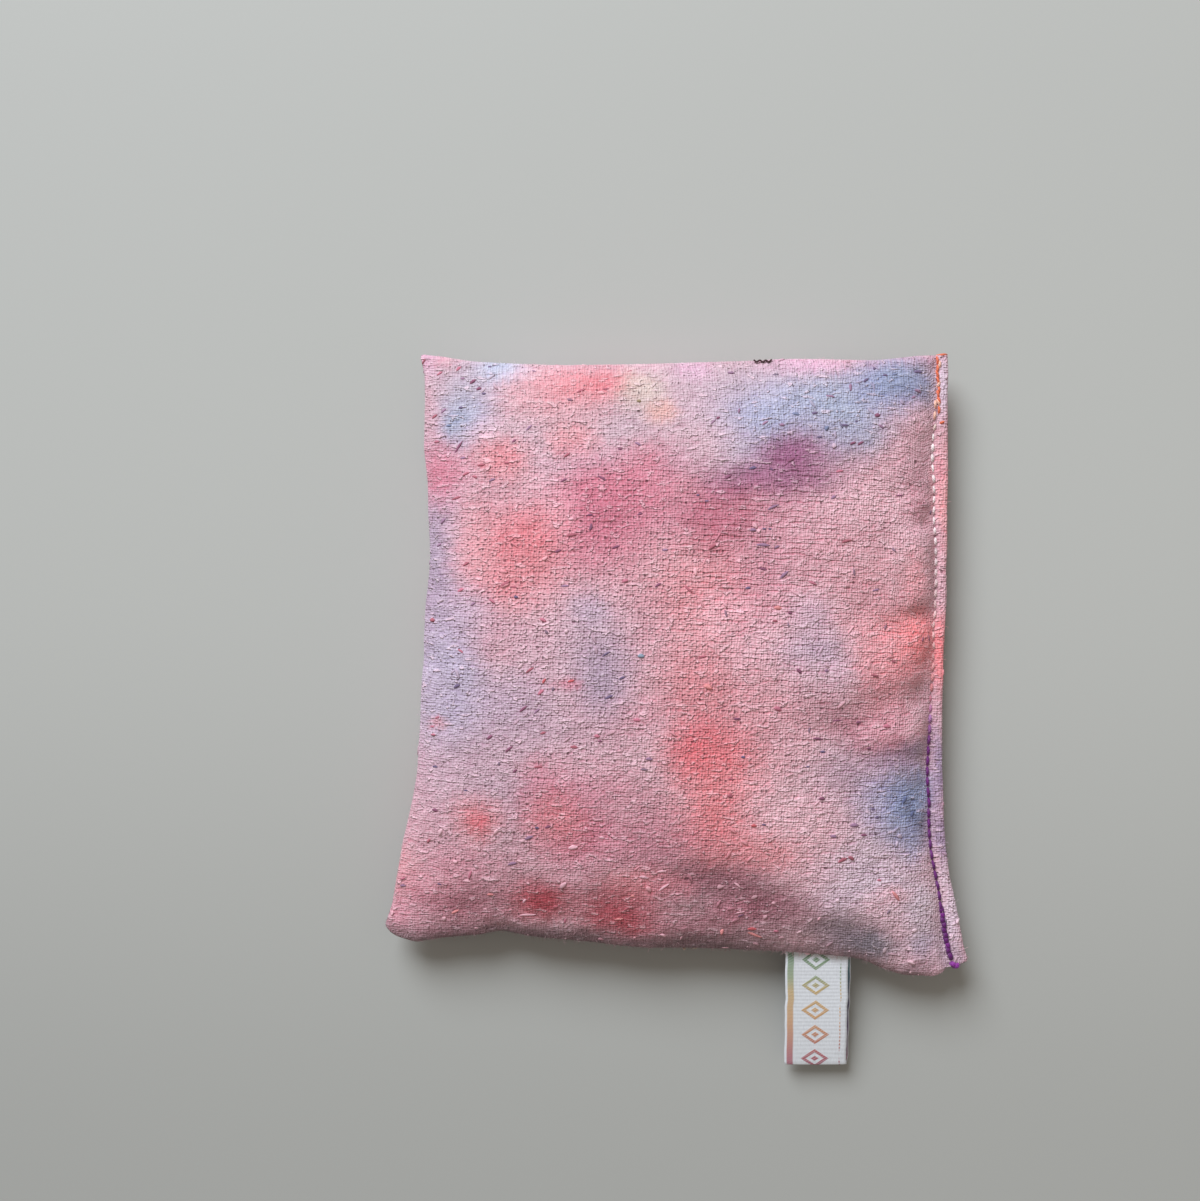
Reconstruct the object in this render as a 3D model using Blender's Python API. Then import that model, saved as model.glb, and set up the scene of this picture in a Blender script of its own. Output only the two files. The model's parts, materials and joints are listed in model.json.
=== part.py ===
# A toss bean bag: two cloth panels sewn together on three sides, turned right side out,
# filled and closed along the fourth side by a topstitched seam that leaves a flat flange.
# A folded ribbon label is caught in the foot seam.
# Metres, +Z up. The bag lies on its back panel. +X is the closing side, -Y the foot.

import math

import bmesh
import bpy
from mathutils import Vector

# Plan of the bag, seen from above, seam corner to seam corner
HEAD_WIDTH = 0.1214
FOOT_WIDTH = 0.1318
CLOSING_LENGTH = 0.1428
FOOT_SLANT = 0.0092  # the far side is this much shorter than the closing side
HEAD_SHIFT = 0.0024  # the head's middle lies this far towards the closing side

# How far each side is drawn in, where it is drawn in most, and how square its ends are
FAR_DRAW_IN = 0.0048
FAR_DEEPEST_SHARE = 0.50
HEAD_DRAW_IN = 0.0026
HEAD_DEEPEST_SHARE = 0.30
CLOSING_DRAW_IN = 0.0030
CLOSING_DEEPEST_SHARE = 0.70
FOOT_DRAW_IN = 0.0020
FOOT_DEEPEST_SHARE = 0.45
DRAW_IN_POWER_SHARE = 0.8

# Height of the seam above the surface, and the swell of the two panels
SEAM_HEIGHT = 0.0080
CROWN_HEIGHT = 0.0142
CROWN_POWER_SHARE = 0.42
BELLY_DEPTH = 0.0115
BELLY_POWER_SHARE = 0.33

# Cloth, seams and the flange of the closing seam
CLOTH = 0.0006
GAP = 0.0003  # between pieces that touch
ALLOWANCE = 0.0060  # cloth turned in past the seam
FLANGE_WIDTH = 0.0033
FOLD_BULGE_SHARE = 0.4  # of the fold's height
EAR_FLAT = 0.0020  # from each far corner, where the seam allowance is clipped away
EAR_FADE = 0.0060
LIFT_FADE = 0.0050  # over which the seam closes again beside the label

# Beans
BEAN_GAP = 0.0004

# Threads
SEAM_THREAD_RADIUS = 0.0002
SEAM_THREAD_INSET = 0.0016
SEAM_THREAD_CORNER = 0.0080
CLOSING_THREAD_RADIUS = 0.0002
CLOSING_STITCH = 0.0024
STITCH_RISE = 0.0002  # how far a stitch bows up between two needle holes
THREAD_END = 0.0010  # from the flange's corners to the first and last needle hole
KNOT_RADIUS = 0.0007
KNOT_REACH = 0.0014  # from the last needle hole towards the flange's edge

# Ribbon label, folded in half
RIBBON_WIDTH = 0.0150
RIBBON = 0.00025  # one ply
LABEL_LENGTH = 0.0245  # hinge line to fold
LABEL_PLACE_SHARE = 0.774  # along the foot seam, from the far corner
LABEL_DROOP_DEG = 11.5
LABEL_FOLD_RADIUS = 0.0006
TAIL_DEPTH = 0.0050  # ribbon held inside the seam

# Fineness of the meshes, as counts
MERGE_DISTANCE = 0.000001
RIM_STEPS = 4
ACROSS_STEPS = 9
BESIDE_LABEL_STEPS = 2
ALONG_STEPS = 12
FOLD_STEPS = 6
STEPS_PER_STITCH = 2
SEAM_THREAD_STEPS = 72
SHARP_FROM_DEG = 40

COLOURS = {
    "cloth_front": (0.62, 0.33, 0.38),
    "cloth_back": (0.58, 0.34, 0.42),
    "beans": (0.80, 0.74, 0.60),
    "ribbon": (0.82, 0.78, 0.80),
    "thread_variegated": (0.45, 0.20, 0.42),
    "thread_dark": (0.10, 0.05, 0.05),
}


def clamp(value, low, high):
    return max(low, min(high, value))


def mix(a, b, share):
    return a + (b - a) * share


def smooth(share):
    share = clamp(share, 0.0, 1.0)
    return share * share * (3 - 2 * share)


# Outline: four corners joined by drawn-in sides, and the surface stretched between them

HEAD_Y = CLOSING_LENGTH / 2
FOOT_Y = -CLOSING_LENGTH / 2
FAR_HEAD = Vector((HEAD_SHIFT - HEAD_WIDTH / 2, HEAD_Y))
FAR_FOOT = Vector((-FOOT_WIDTH / 2, FOOT_Y + FOOT_SLANT))
CLOSING_HEAD = Vector((HEAD_SHIFT + HEAD_WIDTH / 2 - FLANGE_WIDTH, HEAD_Y))
CLOSING_FOOT = Vector((FOOT_WIDTH / 2 - FLANGE_WIDTH, FOOT_Y))


def drawn_side(start, end, inward, depth, deepest, share):
    """A point along one side, which is drawn in towards the middle of the bag."""
    skew = math.log(0.5) / math.log(deepest)
    bow = math.sin(math.pi * clamp(share, 0.0, 1.0) ** skew)
    return start.lerp(end, share) + Vector(inward) * (depth * max(0.0, bow) ** DRAW_IN_POWER_SHARE)


def foot_side(u):
    return drawn_side(FAR_FOOT, CLOSING_FOOT, (0, 1), FOOT_DRAW_IN, FOOT_DEEPEST_SHARE, u)


def head_side(u):
    return drawn_side(FAR_HEAD, CLOSING_HEAD, (0, -1), HEAD_DRAW_IN, HEAD_DEEPEST_SHARE, u)


def far_side(v):
    return drawn_side(FAR_HEAD, FAR_FOOT, (1, 0), FAR_DRAW_IN, FAR_DEEPEST_SHARE, 1 - v)


def closing_side(v):
    return drawn_side(
        CLOSING_HEAD, CLOSING_FOOT, (-1, 0), CLOSING_DRAW_IN, CLOSING_DEEPEST_SHARE, 1 - v
    )


def plan(u, v):
    """A point of the plan: u runs from the far side to the closing stitches, v from foot to head."""
    across = foot_side(u) * (1 - v) + head_side(u) * v
    along = far_side(v) * (1 - u) + closing_side(v) * u
    foot = FAR_FOOT * (1 - u) + CLOSING_FOOT * u
    head = FAR_HEAD * (1 - u) + CLOSING_HEAD * u
    return across + along - (foot * (1 - v) + head * v)


WIDTH = (HEAD_WIDTH + FOOT_WIDTH) / 2 - FLANGE_WIDTH
LENGTH = CLOSING_LENGTH - FOOT_SLANT / 2
TURN_U = ALLOWANCE / WIDTH  # the turned-in edge of the allowance
TURN_V = ALLOWANCE / LENGTH
RIM_U = (ALLOWANCE + GAP) / WIDTH  # the edge of the beans
RIM_V = (ALLOWANCE + GAP) / LENGTH
CLOTH_U = CLOTH / WIDTH
CLOTH_V = CLOTH / LENGTH

# Label: where it leaves the foot seam

LABEL_X = plan(LABEL_PLACE_SHARE, 0).x
SEAM_RUN = (CLOSING_FOOT - FAR_FOOT).x
LABEL_HALF_U = (RIBBON_WIDTH / 2 + GAP) / SEAM_RUN
LIFT_HALF_U = (RIBBON_WIDTH / 2 + GAP + LIFT_FADE) / SEAM_RUN
LIFT = RIBBON + GAP - GAP / 2
ROOT_RADIUS = RIBBON + GAP / 2
LABEL_EDGE_Y = min(
    plan(LABEL_PLACE_SHARE + side * LABEL_HALF_U, 0).y for side in (-1, 0, 1)
)
HINGE = Vector((LABEL_X, LABEL_EDGE_Y - CLOTH * FOLD_BULGE_SHARE - GAP - ROOT_RADIUS, SEAM_HEIGHT))


def rim_ramp(steps):
    """Shares from 0 to 1 that lie closer together near the seam."""
    return [1 - math.cos(math.pi / 2 * step / steps) for step in range(steps)]


def even(start, end, steps):
    return [mix(start, end, step / steps) for step in range(steps)]


def grid_lines():
    """The u and v of the panels' mesh lines. Four of the u lines follow the label's edges."""
    rim = rim_ramp(RIM_STEPS)
    label = [
        LABEL_PLACE_SHARE - LIFT_HALF_U,
        LABEL_PLACE_SHARE - LABEL_HALF_U,
        LABEL_PLACE_SHARE + LABEL_HALF_U,
        LABEL_PLACE_SHARE + LIFT_HALF_U,
    ]
    u_lines = [RIM_U * share for share in rim]
    u_lines += even(RIM_U, label[0], ACROSS_STEPS) + label
    u_lines += even(label[3], 1 - RIM_U, BESIDE_LABEL_STEPS)[1:]
    u_lines += [1 - RIM_U] + [1 - RIM_U * share for share in reversed(rim)]
    v_lines = [RIM_V * share for share in rim]
    v_lines += even(RIM_V, 1 - RIM_V, ALONG_STEPS)
    v_lines += [1 - RIM_V] + [1 - RIM_V * share for share in reversed(rim)]
    return u_lines, v_lines


U_LINES, V_LINES = grid_lines()


# Heights above and below the seam


def swell(u, v, power):
    across = clamp(4 * u * (1 - u), 0.0, 1.0)
    along = clamp(4 * v * (1 - v), 0.0, 1.0)
    return (across * along) ** power


def lift(u, v):
    """How far the cloth is pushed from the seam plane by the ribbon ends in the foot seam."""
    beside = (abs(u - LABEL_PLACE_SHARE) - LABEL_HALF_U) / (LIFT_HALF_U - LABEL_HALF_U)
    inside = (v - RIM_V) / (2 * RIM_V)
    return LIFT * (1 - smooth(beside)) * (1 - smooth(inside))


def allowance_share(u, v):
    """1 where the turned-in allowance is whole, 0 at the far corners, where it is clipped."""
    spot = plan(u, v)
    nearest = min((spot - FAR_HEAD).length, (spot - FAR_FOOT).length)
    return smooth((nearest - EAR_FLAT) / EAR_FADE)


def closing_plies(u):
    """The turned-in ply of the closing seam raises the cloth beside the stitches."""
    return CLOTH * (1 + smooth((u - (1 - RIM_U)) / RIM_U))


def front_heights(u, v):
    """Outer and inner face of the front panel."""
    base = SEAM_HEIGHT + GAP / 2 + lift(u, v)
    rise = swell(u, v, CROWN_POWER_SHARE)
    outer = base + closing_plies(u) + CROWN_HEIGHT * rise
    inner = base + CLOTH * allowance_share(u, v) * (1 - rise) + CROWN_HEIGHT * rise
    return outer, inner


def back_heights(u, v):
    """Outer and inner face of the back panel, which lies flat where it rests."""
    base = SEAM_HEIGHT - GAP / 2 - lift(u, v)
    drop = swell(u, v, BELLY_POWER_SHARE)
    outer = base - closing_plies(u) - BELLY_DEPTH * drop
    inner = base - CLOTH * allowance_share(u, v) * (1 - drop) - BELLY_DEPTH * drop
    return max(0.0, outer), max(CLOTH, inner)


# Objects


def material(name):
    made = bpy.data.materials.get(name)
    if made is None:
        made = bpy.data.materials.new(name)
        made.use_nodes = True
        surface = made.node_tree.nodes["Principled BSDF"]
        surface.inputs["Base Color"].default_value = (*COLOURS[name], 1)
        surface.inputs["Roughness"].default_value = 0.9
        surface.inputs["Metallic"].default_value = 0.0
    return made


def add_object(name, mesh, material_name, parent):
    mesh.materials.append(material(material_name))
    mesh.shade_smooth()
    mesh.set_sharp_from_angle(angle=math.radians(SHARP_FROM_DEG))
    made = bpy.data.objects.new(name, mesh)
    bpy.context.scene.collection.objects.link(made)
    made.parent = parent
    return made


def mesh_from(bm, name):
    bmesh.ops.remove_doubles(bm, verts=bm.verts, dist=MERGE_DISTANCE)
    bmesh.ops.dissolve_degenerate(bm, edges=bm.edges, dist=MERGE_DISTANCE)
    bmesh.ops.recalc_face_normals(bm, faces=bm.faces)
    mesh = bpy.data.meshes.new(name)
    bm.to_mesh(mesh)
    bm.free()
    return mesh


def grid_faces(bm, rows):
    for lower, upper in zip(rows, rows[1:]):
        for a, b, c, d in zip(lower, lower[1:], upper[1:], upper):
            bm.faces.new((a, b, c, d))


def border(columns, rows):
    """The grid places around the edge, once round."""
    foot = [(i, 0) for i in range(columns)]
    closing = [(columns - 1, j) for j in range(1, rows)]
    head = [(i, rows - 1) for i in reversed(range(columns - 1))]
    far = [(0, j) for j in reversed(range(1, rows - 1))]
    return foot + closing + head + far


def bridge(bm, first, second):
    """Faces between two rings; where a ring has run together, its faces become triangles."""
    count = len(first)
    for k in range(count):
        after = (k + 1) % count
        corners = []
        for vert in (first[k], first[after], second[after], second[k]):
            if all((vert.co - other.co).length > MERGE_DISTANCE for other in corners):
                corners.append(vert)
        if len(corners) > 2:
            bm.faces.new(corners)


def build_panel(name, heights, side, material_name, parent):
    """One panel: a swelled sheet whose edge turns in at the seam and forms the flange."""
    bm = bmesh.new()
    columns = len(U_LINES) + 1
    rows = len(V_LINES)
    flange = Vector((FLANGE_WIDTH, 0))
    outer_rows = []
    inner_rows = []
    for v in V_LINES:
        outer_row = []
        inner_row = []
        for i in range(columns):
            u = U_LINES[min(i, columns - 2)]
            spot = plan(u, v)
            inset = plan(mix(CLOTH_U, 1 - CLOTH_U, u), mix(CLOTH_V, 1 - CLOTH_V, v))
            outer, inner = heights(u, v)
            if i == columns - 1:
                spot = spot + flange
            outer_row.append(bm.verts.new((spot.x, spot.y, outer)))
            inner_row.append(bm.verts.new((inset.x, inset.y, inner)))
        outer_rows.append(outer_row)
        inner_rows.append(inner_row)
    grid_faces(bm, outer_rows)
    grid_faces(bm, [row[:-1] for row in inner_rows])

    rings = {"top": [], "fold": [], "foot": [], "tip_low": [], "tip_high": [], "inside": []}
    for i, j in border(columns, rows):
        u = U_LINES[min(i, columns - 2)]
        v = V_LINES[j]
        edge = outer_rows[j][i]
        inside = inner_rows[j][min(i, columns - 2)]
        turned = allowance_share(u, v)
        base = SEAM_HEIGHT + side * (GAP / 2 + lift(u, v))
        outward = (edge.co - inside.co).xy.normalized()
        bulge = outward * (abs(edge.co.z - base) * FOLD_BULGE_SHARE)
        tip = plan(
            mix(mix(CLOTH_U, 1 - CLOTH_U, u), clamp(u, TURN_U, 1 - TURN_U), turned),
            mix(mix(CLOTH_V, 1 - CLOTH_V, v), clamp(v, TURN_V, 1 - TURN_V), turned),
        )
        ply = side * CLOTH * turned
        rings["top"].append(edge)
        rings["fold"].append(
            bm.verts.new((edge.co.x + bulge.x, edge.co.y + bulge.y, (edge.co.z + base) / 2))
        )
        rings["foot"].append(bm.verts.new((edge.co.x, edge.co.y, base)))
        rings["tip_low"].append(bm.verts.new((tip.x, tip.y, base)))
        rings["tip_high"].append(bm.verts.new((tip.x, tip.y, base + ply)))
        rings["inside"].append(inside)
    order = list(rings.values())
    for first, second in zip(order, order[1:]):
        bridge(bm, first, second)
    return add_object(name, mesh_from(bm, name), material_name, parent)


def build_beans(parent):
    """The loose beans as one body, held between the panels and the turned-in allowances."""
    bm = bmesh.new()
    inner_u = [u for u in U_LINES if RIM_U <= u <= 1 - RIM_U]
    inner_v = [v for v in V_LINES if RIM_V <= v <= 1 - RIM_V]
    sheets = []
    for heights, offset in ((front_heights, -BEAN_GAP), (back_heights, BEAN_GAP)):
        sheet = []
        for v in inner_v:
            row = []
            for u in inner_u:
                spot = plan(mix(CLOTH_U, 1 - CLOTH_U, u), mix(CLOTH_V, 1 - CLOTH_V, v))
                row.append(bm.verts.new((spot.x, spot.y, heights(u, v)[1] + offset)))
            sheet.append(row)
        grid_faces(bm, sheet)
        sheets.append(sheet)
    places = border(len(inner_u), len(inner_v))
    upper, lower = ([sheet[j][i] for i, j in places] for sheet in sheets)
    bridge(bm, upper, lower)
    return add_object("bean_fill", mesh_from(bm, "bean_fill"), "beans", parent)


def build_thread(name, points, radius, material_name, parent, swelling=None):
    """A thread along points; swelling gives a wider radius at chosen points."""
    curve = bpy.data.curves.new(name, "CURVE")
    curve.dimensions = "3D"
    curve.bevel_depth = radius
    curve.bevel_resolution = 1
    curve.use_fill_caps = True
    spline = curve.splines.new("POLY")
    spline.points.add(len(points) - 1)
    for index, (place, point) in enumerate(zip(spline.points, points)):
        place.co = (*point, 1)
        place.radius = (swelling or {}).get(index, 1.0)
    curve.materials.append(material(material_name))
    made = bpy.data.objects.new(name, curve)
    bpy.context.scene.collection.objects.link(made)
    made.parent = parent
    return made


def seam_thread_plan():
    """The seam inside the bag: foot, round the far corners, and along the head."""
    low_u = SEAM_THREAD_INSET / WIDTH
    low_v = SEAM_THREAD_INSET / LENGTH
    round_u = SEAM_THREAD_CORNER / WIDTH
    round_v = SEAM_THREAD_CORNER / LENGTH
    end_u = 1 - RIM_U - 2 * SEAM_THREAD_INSET / WIDTH
    quarter = SEAM_THREAD_CORNER * math.pi / 2
    runs = [
        SEAM_RUN * (end_u - low_u - round_u),
        quarter,
        LENGTH - 2 * (SEAM_THREAD_INSET + SEAM_THREAD_CORNER),
        quarter,
        SEAM_RUN * (end_u - low_u - round_u),
    ]
    step = sum(runs) / SEAM_THREAD_STEPS
    points = []
    for index in range(SEAM_THREAD_STEPS + 1):
        along = index * step
        run = 0
        while run < len(runs) - 1 and along > runs[run]:
            along -= runs[run]
            run += 1
        share = clamp(along / runs[run], 0.0, 1.0)
        turn = math.pi / 2 * share
        if run == 0:
            spot = (mix(end_u, low_u + round_u, share), low_v)
        elif run == 1:
            spot = (low_u + round_u * (1 - math.sin(turn)), low_v + round_v * (1 - math.cos(turn)))
        elif run == 2:
            spot = (low_u, mix(low_v + round_v, 1 - low_v - round_v, share))
        elif run == 3:
            spot = (low_u + round_u * (1 - math.cos(turn)), 1 - low_v - round_v * (1 - math.sin(turn)))
        else:
            spot = (mix(low_u + round_u, end_u, share), 1 - low_v)
        points.append(spot)
    return points


def build_seam_threads(parent):
    """Needle thread on the front panel's allowance, bobbin thread under the back panel's."""
    stand = GAP / 2 + CLOTH + GAP + SEAM_THREAD_RADIUS
    for name, side in (("seam_needle_thread", 1), ("seam_bobbin_thread", -1)):
        points = []
        for u, v in seam_thread_plan():
            spot = plan(u, v)
            points.append((spot.x, spot.y, SEAM_HEIGHT + side * (stand + lift(u, v))))
        build_thread(name, points, SEAM_THREAD_RADIUS, "thread_dark", parent)


def build_closing_threads(parent):
    """The topstitching that closes the bag, in the valley beside the flange."""
    side_length = (CLOSING_HEAD - CLOSING_FOOT).length
    count = round((side_length - 2 * THREAD_END) / CLOSING_STITCH) * STEPS_PER_STITCH
    valley = CLOSING_THREAD_RADIUS + GAP
    stand = GAP / 2 + 2 * CLOTH + GAP + CLOSING_THREAD_RADIUS
    for name, side in (("closing_needle_thread", 1), ("closing_bobbin_thread", -1)):
        points = []
        for index in range(count + 1):
            v = mix(1 - THREAD_END / side_length, THREAD_END / side_length, index / count)
            spot = closing_side(v)
            bow = abs(math.sin(math.pi * index / STEPS_PER_STITCH))
            height = SEAM_HEIGHT + side * (stand + STITCH_RISE * bow)
            points.append((spot.x + valley, spot.y, height))
        swelling = {}
        if side > 0:
            knot_height = SEAM_HEIGHT + GAP / 2 + 2 * CLOTH + GAP + KNOT_RADIUS
            last = points[-1]
            reach = KNOT_REACH - KNOT_RADIUS
            for share in (0, 0.5, 1):
                swelling[len(points)] = KNOT_RADIUS / CLOSING_THREAD_RADIUS * (1 - abs(share - 0.5))
                points.append((last[0] + reach + share * KNOT_RADIUS, last[1], knot_height))
        build_thread(
            name, points, CLOSING_THREAD_RADIUS, "thread_variegated", parent, swelling
        )


def build_label_tail(parent):
    """The ribbon's two ends, pressed together and held between the allowances."""
    outer_y = HINGE.y + ROOT_RADIUS + GAP
    inner_y = plan(LABEL_PLACE_SHARE, 0).y + TAIL_DEPTH
    bm = bmesh.new()
    bmesh.ops.create_cube(bm, size=1)
    for vert in bm.verts:
        vert.co.x = LABEL_X + vert.co.x * RIBBON_WIDTH
        vert.co.y = (inner_y + outer_y) / 2 + vert.co.y * (inner_y - outer_y)
        vert.co.z = SEAM_HEIGHT + vert.co.z * 2 * RIBBON
    return add_object("label_tail", mesh_from(bm, "label_tail"), "ribbon", parent)


def build_label_loop(parent):
    """The free part of the folded ribbon, which swings about the seam's edge."""
    half = GAP / 2
    reach = LABEL_LENGTH - LABEL_FOLD_RADIUS - RIBBON
    neck = reach - 4 * LABEL_FOLD_RADIUS
    outside = [(0, half + RIBBON), (neck, half + RIBBON)]
    inside = [(0, half), (neck, half)]
    for step in range(FOLD_STEPS + 1):
        turn = math.pi / 2 - math.pi * step / FOLD_STEPS
        along = reach + LABEL_FOLD_RADIUS * math.cos(turn)
        outside.append((along + RIBBON * math.cos(turn), (LABEL_FOLD_RADIUS + RIBBON) * math.sin(turn)))
        inside.append((along, LABEL_FOLD_RADIUS * math.sin(turn)))
    outside += [(neck, -half - RIBBON), (0, -half - RIBBON)]
    inside += [(neck, -half), (0, -half)]
    droop = math.radians(LABEL_DROOP_DEG)
    bm = bmesh.new()
    sections = []
    for edge in (-RIBBON_WIDTH / 2, RIBBON_WIDTH / 2):
        rails = []
        for profile in (outside, inside):
            rail = []
            for along, rise in profile:
                y = -along * math.cos(droop) - rise * math.sin(droop)
                z = -along * math.sin(droop) + rise * math.cos(droop)
                rail.append(bm.verts.new((edge, y, z)))
            rails.append(rail)
        sections.append(rails)
    for rails in sections:
        grid_faces(bm, rails)
    for k in (0, 1):
        grid_faces(bm, [sections[0][k], sections[1][k]])
    for end in (0, -1):
        bm.faces.new((sections[0][0][end], sections[0][1][end], sections[1][1][end], sections[1][0][end]))
    hinge = bpy.data.objects.new("label_hinge", None)
    bpy.context.scene.collection.objects.link(hinge)
    hinge.parent = parent
    hinge.location = HINGE
    return add_object("label_loop", mesh_from(bm, "label_loop"), "ribbon", hinge)


def centre_on_origin(parent):
    """Moves the whole bag so that the middle of its footprint stands at the origin."""
    bpy.context.view_layer.update()
    depsgraph = bpy.context.evaluated_depsgraph_get()
    corners = []
    for item in bpy.context.scene.objects:
        if item.type != "EMPTY":
            seen = item.evaluated_get(depsgraph)
            mesh = seen.to_mesh()
            corners += [seen.matrix_world @ vert.co for vert in mesh.vertices]
            seen.to_mesh_clear()
    middle_x = (min(c.x for c in corners) + max(c.x for c in corners)) / 2
    middle_y = (min(c.y for c in corners) + max(c.y for c in corners)) / 2
    parent.location = (-middle_x, -middle_y, 0)
    bpy.context.view_layer.update()
    hinge = HINGE + parent.location
    rest = plan(0.5, 0.5).to_3d() + parent.location
    print("label hinge", [round(value, 5) for value in hinge])
    print("middle of the rest face", [round(value, 5) for value in rest])


def main():
    for item in list(bpy.data.objects):
        bpy.data.objects.remove(item, do_unlink=True)
    bag = bpy.data.objects.new("bag", None)
    bpy.context.scene.collection.objects.link(bag)
    build_panel("front_panel", front_heights, 1, "cloth_front", bag)
    build_panel("back_panel", back_heights, -1, "cloth_back", bag)
    build_beans(bag)
    build_seam_threads(bag)
    build_closing_threads(bag)
    build_label_tail(bag)
    build_label_loop(bag)
    centre_on_origin(bag)


main()
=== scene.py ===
# Toss bean bag in hand-dyed cloth, lying flat, seen from above.
# The bag is simulated, then given its seams, dye, weave, topstitching, ribbon label and loose fibres.
import json
import math

import bmesh
import bpy
import numpy as np
from mathutils import Matrix, Vector


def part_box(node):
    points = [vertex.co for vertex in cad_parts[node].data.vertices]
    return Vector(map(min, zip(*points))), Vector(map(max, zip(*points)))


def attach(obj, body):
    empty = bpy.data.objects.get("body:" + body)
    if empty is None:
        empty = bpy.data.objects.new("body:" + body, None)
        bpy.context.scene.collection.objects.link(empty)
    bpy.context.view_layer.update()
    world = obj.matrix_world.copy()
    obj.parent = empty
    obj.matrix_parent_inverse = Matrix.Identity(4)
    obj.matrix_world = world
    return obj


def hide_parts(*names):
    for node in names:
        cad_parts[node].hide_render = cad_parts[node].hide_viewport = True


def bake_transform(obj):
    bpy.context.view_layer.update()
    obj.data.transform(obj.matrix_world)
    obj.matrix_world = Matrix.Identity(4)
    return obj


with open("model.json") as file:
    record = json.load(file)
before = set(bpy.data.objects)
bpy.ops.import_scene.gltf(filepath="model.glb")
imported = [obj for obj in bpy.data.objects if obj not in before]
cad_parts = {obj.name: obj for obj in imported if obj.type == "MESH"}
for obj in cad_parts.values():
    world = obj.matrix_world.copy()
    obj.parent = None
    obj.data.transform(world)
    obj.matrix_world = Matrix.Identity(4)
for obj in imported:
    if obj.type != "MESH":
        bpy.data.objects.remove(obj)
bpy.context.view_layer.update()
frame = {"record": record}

mm = 0.001


# Small helpers

def mix(a, b, share):
    return a + (b - a) * share


def smoothStep(share):
    share = np.clip(share, 0.0, 1.0)
    return share * share * (3 - 2 * share)


def latticeNoise(x, y, cell, seed, cells=97, middle=40.5):
    # smooth noise from -1 to 1 whose bumps are about one cell wide; it repeats after so many cells
    table = np.random.default_rng(seed).uniform(-1, 1, (cells, cells))
    gx, gy = x / cell + middle, y / cell + middle
    ix, iy = np.floor(gx).astype(int), np.floor(gy).astype(int)
    fx, fy = smoothStep(gx - ix), smoothStep(gy - iy)
    low, high = (mix(table[row % cells, ix % cells], table[row % cells, (ix + 1) % cells], fx)
                 for row in (iy, iy + 1))
    return mix(low, high, fy)


def srgb(red, green, blue):
    # a colour given as it looks on a screen, 0 to 255, as the linear value that a shader wants
    linear = []
    for value in (red, green, blue):
        share = value / 255
        linear.append(share / 12.92 if share <= 0.04045 else ((share + 0.055) / 1.055) ** 2.4)
    return (*linear, 1.0)


def addObject(name, mesh, surface, body):
    made = bpy.data.objects.new(name, mesh)
    bpy.context.scene.collection.objects.link(made)
    if surface:
        mesh.materials.append(surface)
    if body:
        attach(made, body)
    return made


def faceOutwards(mesh):
    bm = bmesh.new()
    bm.from_mesh(mesh)
    bmesh.ops.recalc_face_normals(bm, faces=bm.faces)
    bm.to_mesh(mesh)
    bm.free()


def layUv(mesh, name, pairs):
    # one pair of cloth lengths for each point
    layer = mesh.uv_layers.new(name=name)
    loops = np.empty(len(mesh.loops), int)
    mesh.loops.foreach_get("vertex_index", loops)
    layer.data.foreach_set("uv", pairs[loops].ravel())


def layAttribute(mesh, name, kind, values):
    # one value for each point
    field = {"FLOAT": "value", "FLOAT_VECTOR": "vector", "FLOAT_COLOR": "color"}[kind]
    mesh.attributes.new(name, kind, "POINT").data.foreach_set(field, np.array(values, float).ravel())


# The photograph's frame, in which places on the cloth are read

photo = {
    "height": 1201,
    "metresPerPixel": 0.00023,
    "originX": 672.5,  # the pixel over the bag's origin
    "originY": 711.5,
}

camera = {
    "height": 0.300,  # above the seam
    "pixelX": 600,  # the pixel that the camera stands over
    "pixelY": 600.5,
    "sensor": 36.0,
}


def fromPhoto(pixelX, pixelY, height=0.0):
    # a place on the bag; height is above the seam, and what is higher looks farther out
    scale = photo["metresPerPixel"]
    shrink = 1 - height / camera["height"]
    pixelX = camera["pixelX"] + (pixelX - camera["pixelX"]) * shrink
    pixelY = camera["pixelY"] + (pixelY - camera["pixelY"]) * shrink
    return ((pixelX - photo["originX"]) * scale, (photo["originY"] - pixelY) * scale)


# The bag's outline: four corners joined by drawn-in sides

bag = {
    "headWidth": 121.4 * mm,
    "footWidth": 131.8 * mm,
    "closingLength": 142.8 * mm,
    "footSlant": 9.2 * mm,
    "headShift": 2.4 * mm,
    "flange": 3.3 * mm,
    "farDrawIn": (4.8 * mm, 0.50),  # depth, and where along the side it is deepest
    "headDrawIn": (2.6 * mm, 0.30),
    "closingDrawIn": (3.0 * mm, 0.70),
    "footDrawIn": (2.0 * mm, 0.45),
    "drawInPower": 0.8,
    "seamHeight": 8.0 * mm,
    "seamInset": 0.9 * mm,  # the cloth swells this far over its own seam
    "overhang": 0.7 * mm,
    "crown": 14.6 * mm,
    "crownPower": 0.42,
    "belly": 11.5 * mm,
    "bellyPower": 0.33,
    "closingPower": 1.45,  # how much gentler the closing side slopes than the others
    "footPower": 1.35,
    "closingEase": 1.5 * mm,  # the cloth leaves the stitches flat
    "leanTop": 7.5 * mm,  # the cloth leans out below this height
    "leanPower": 0.8,
    "leanReach": 0.06,  # share of the bag's width
    "clothThickness": 0.5 * mm,
}

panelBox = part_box("front_panel")
bagMiddle = np.array([(panelBox[0][k] + panelBox[1][k]) / 2 for k in (0, 1)])


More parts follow.
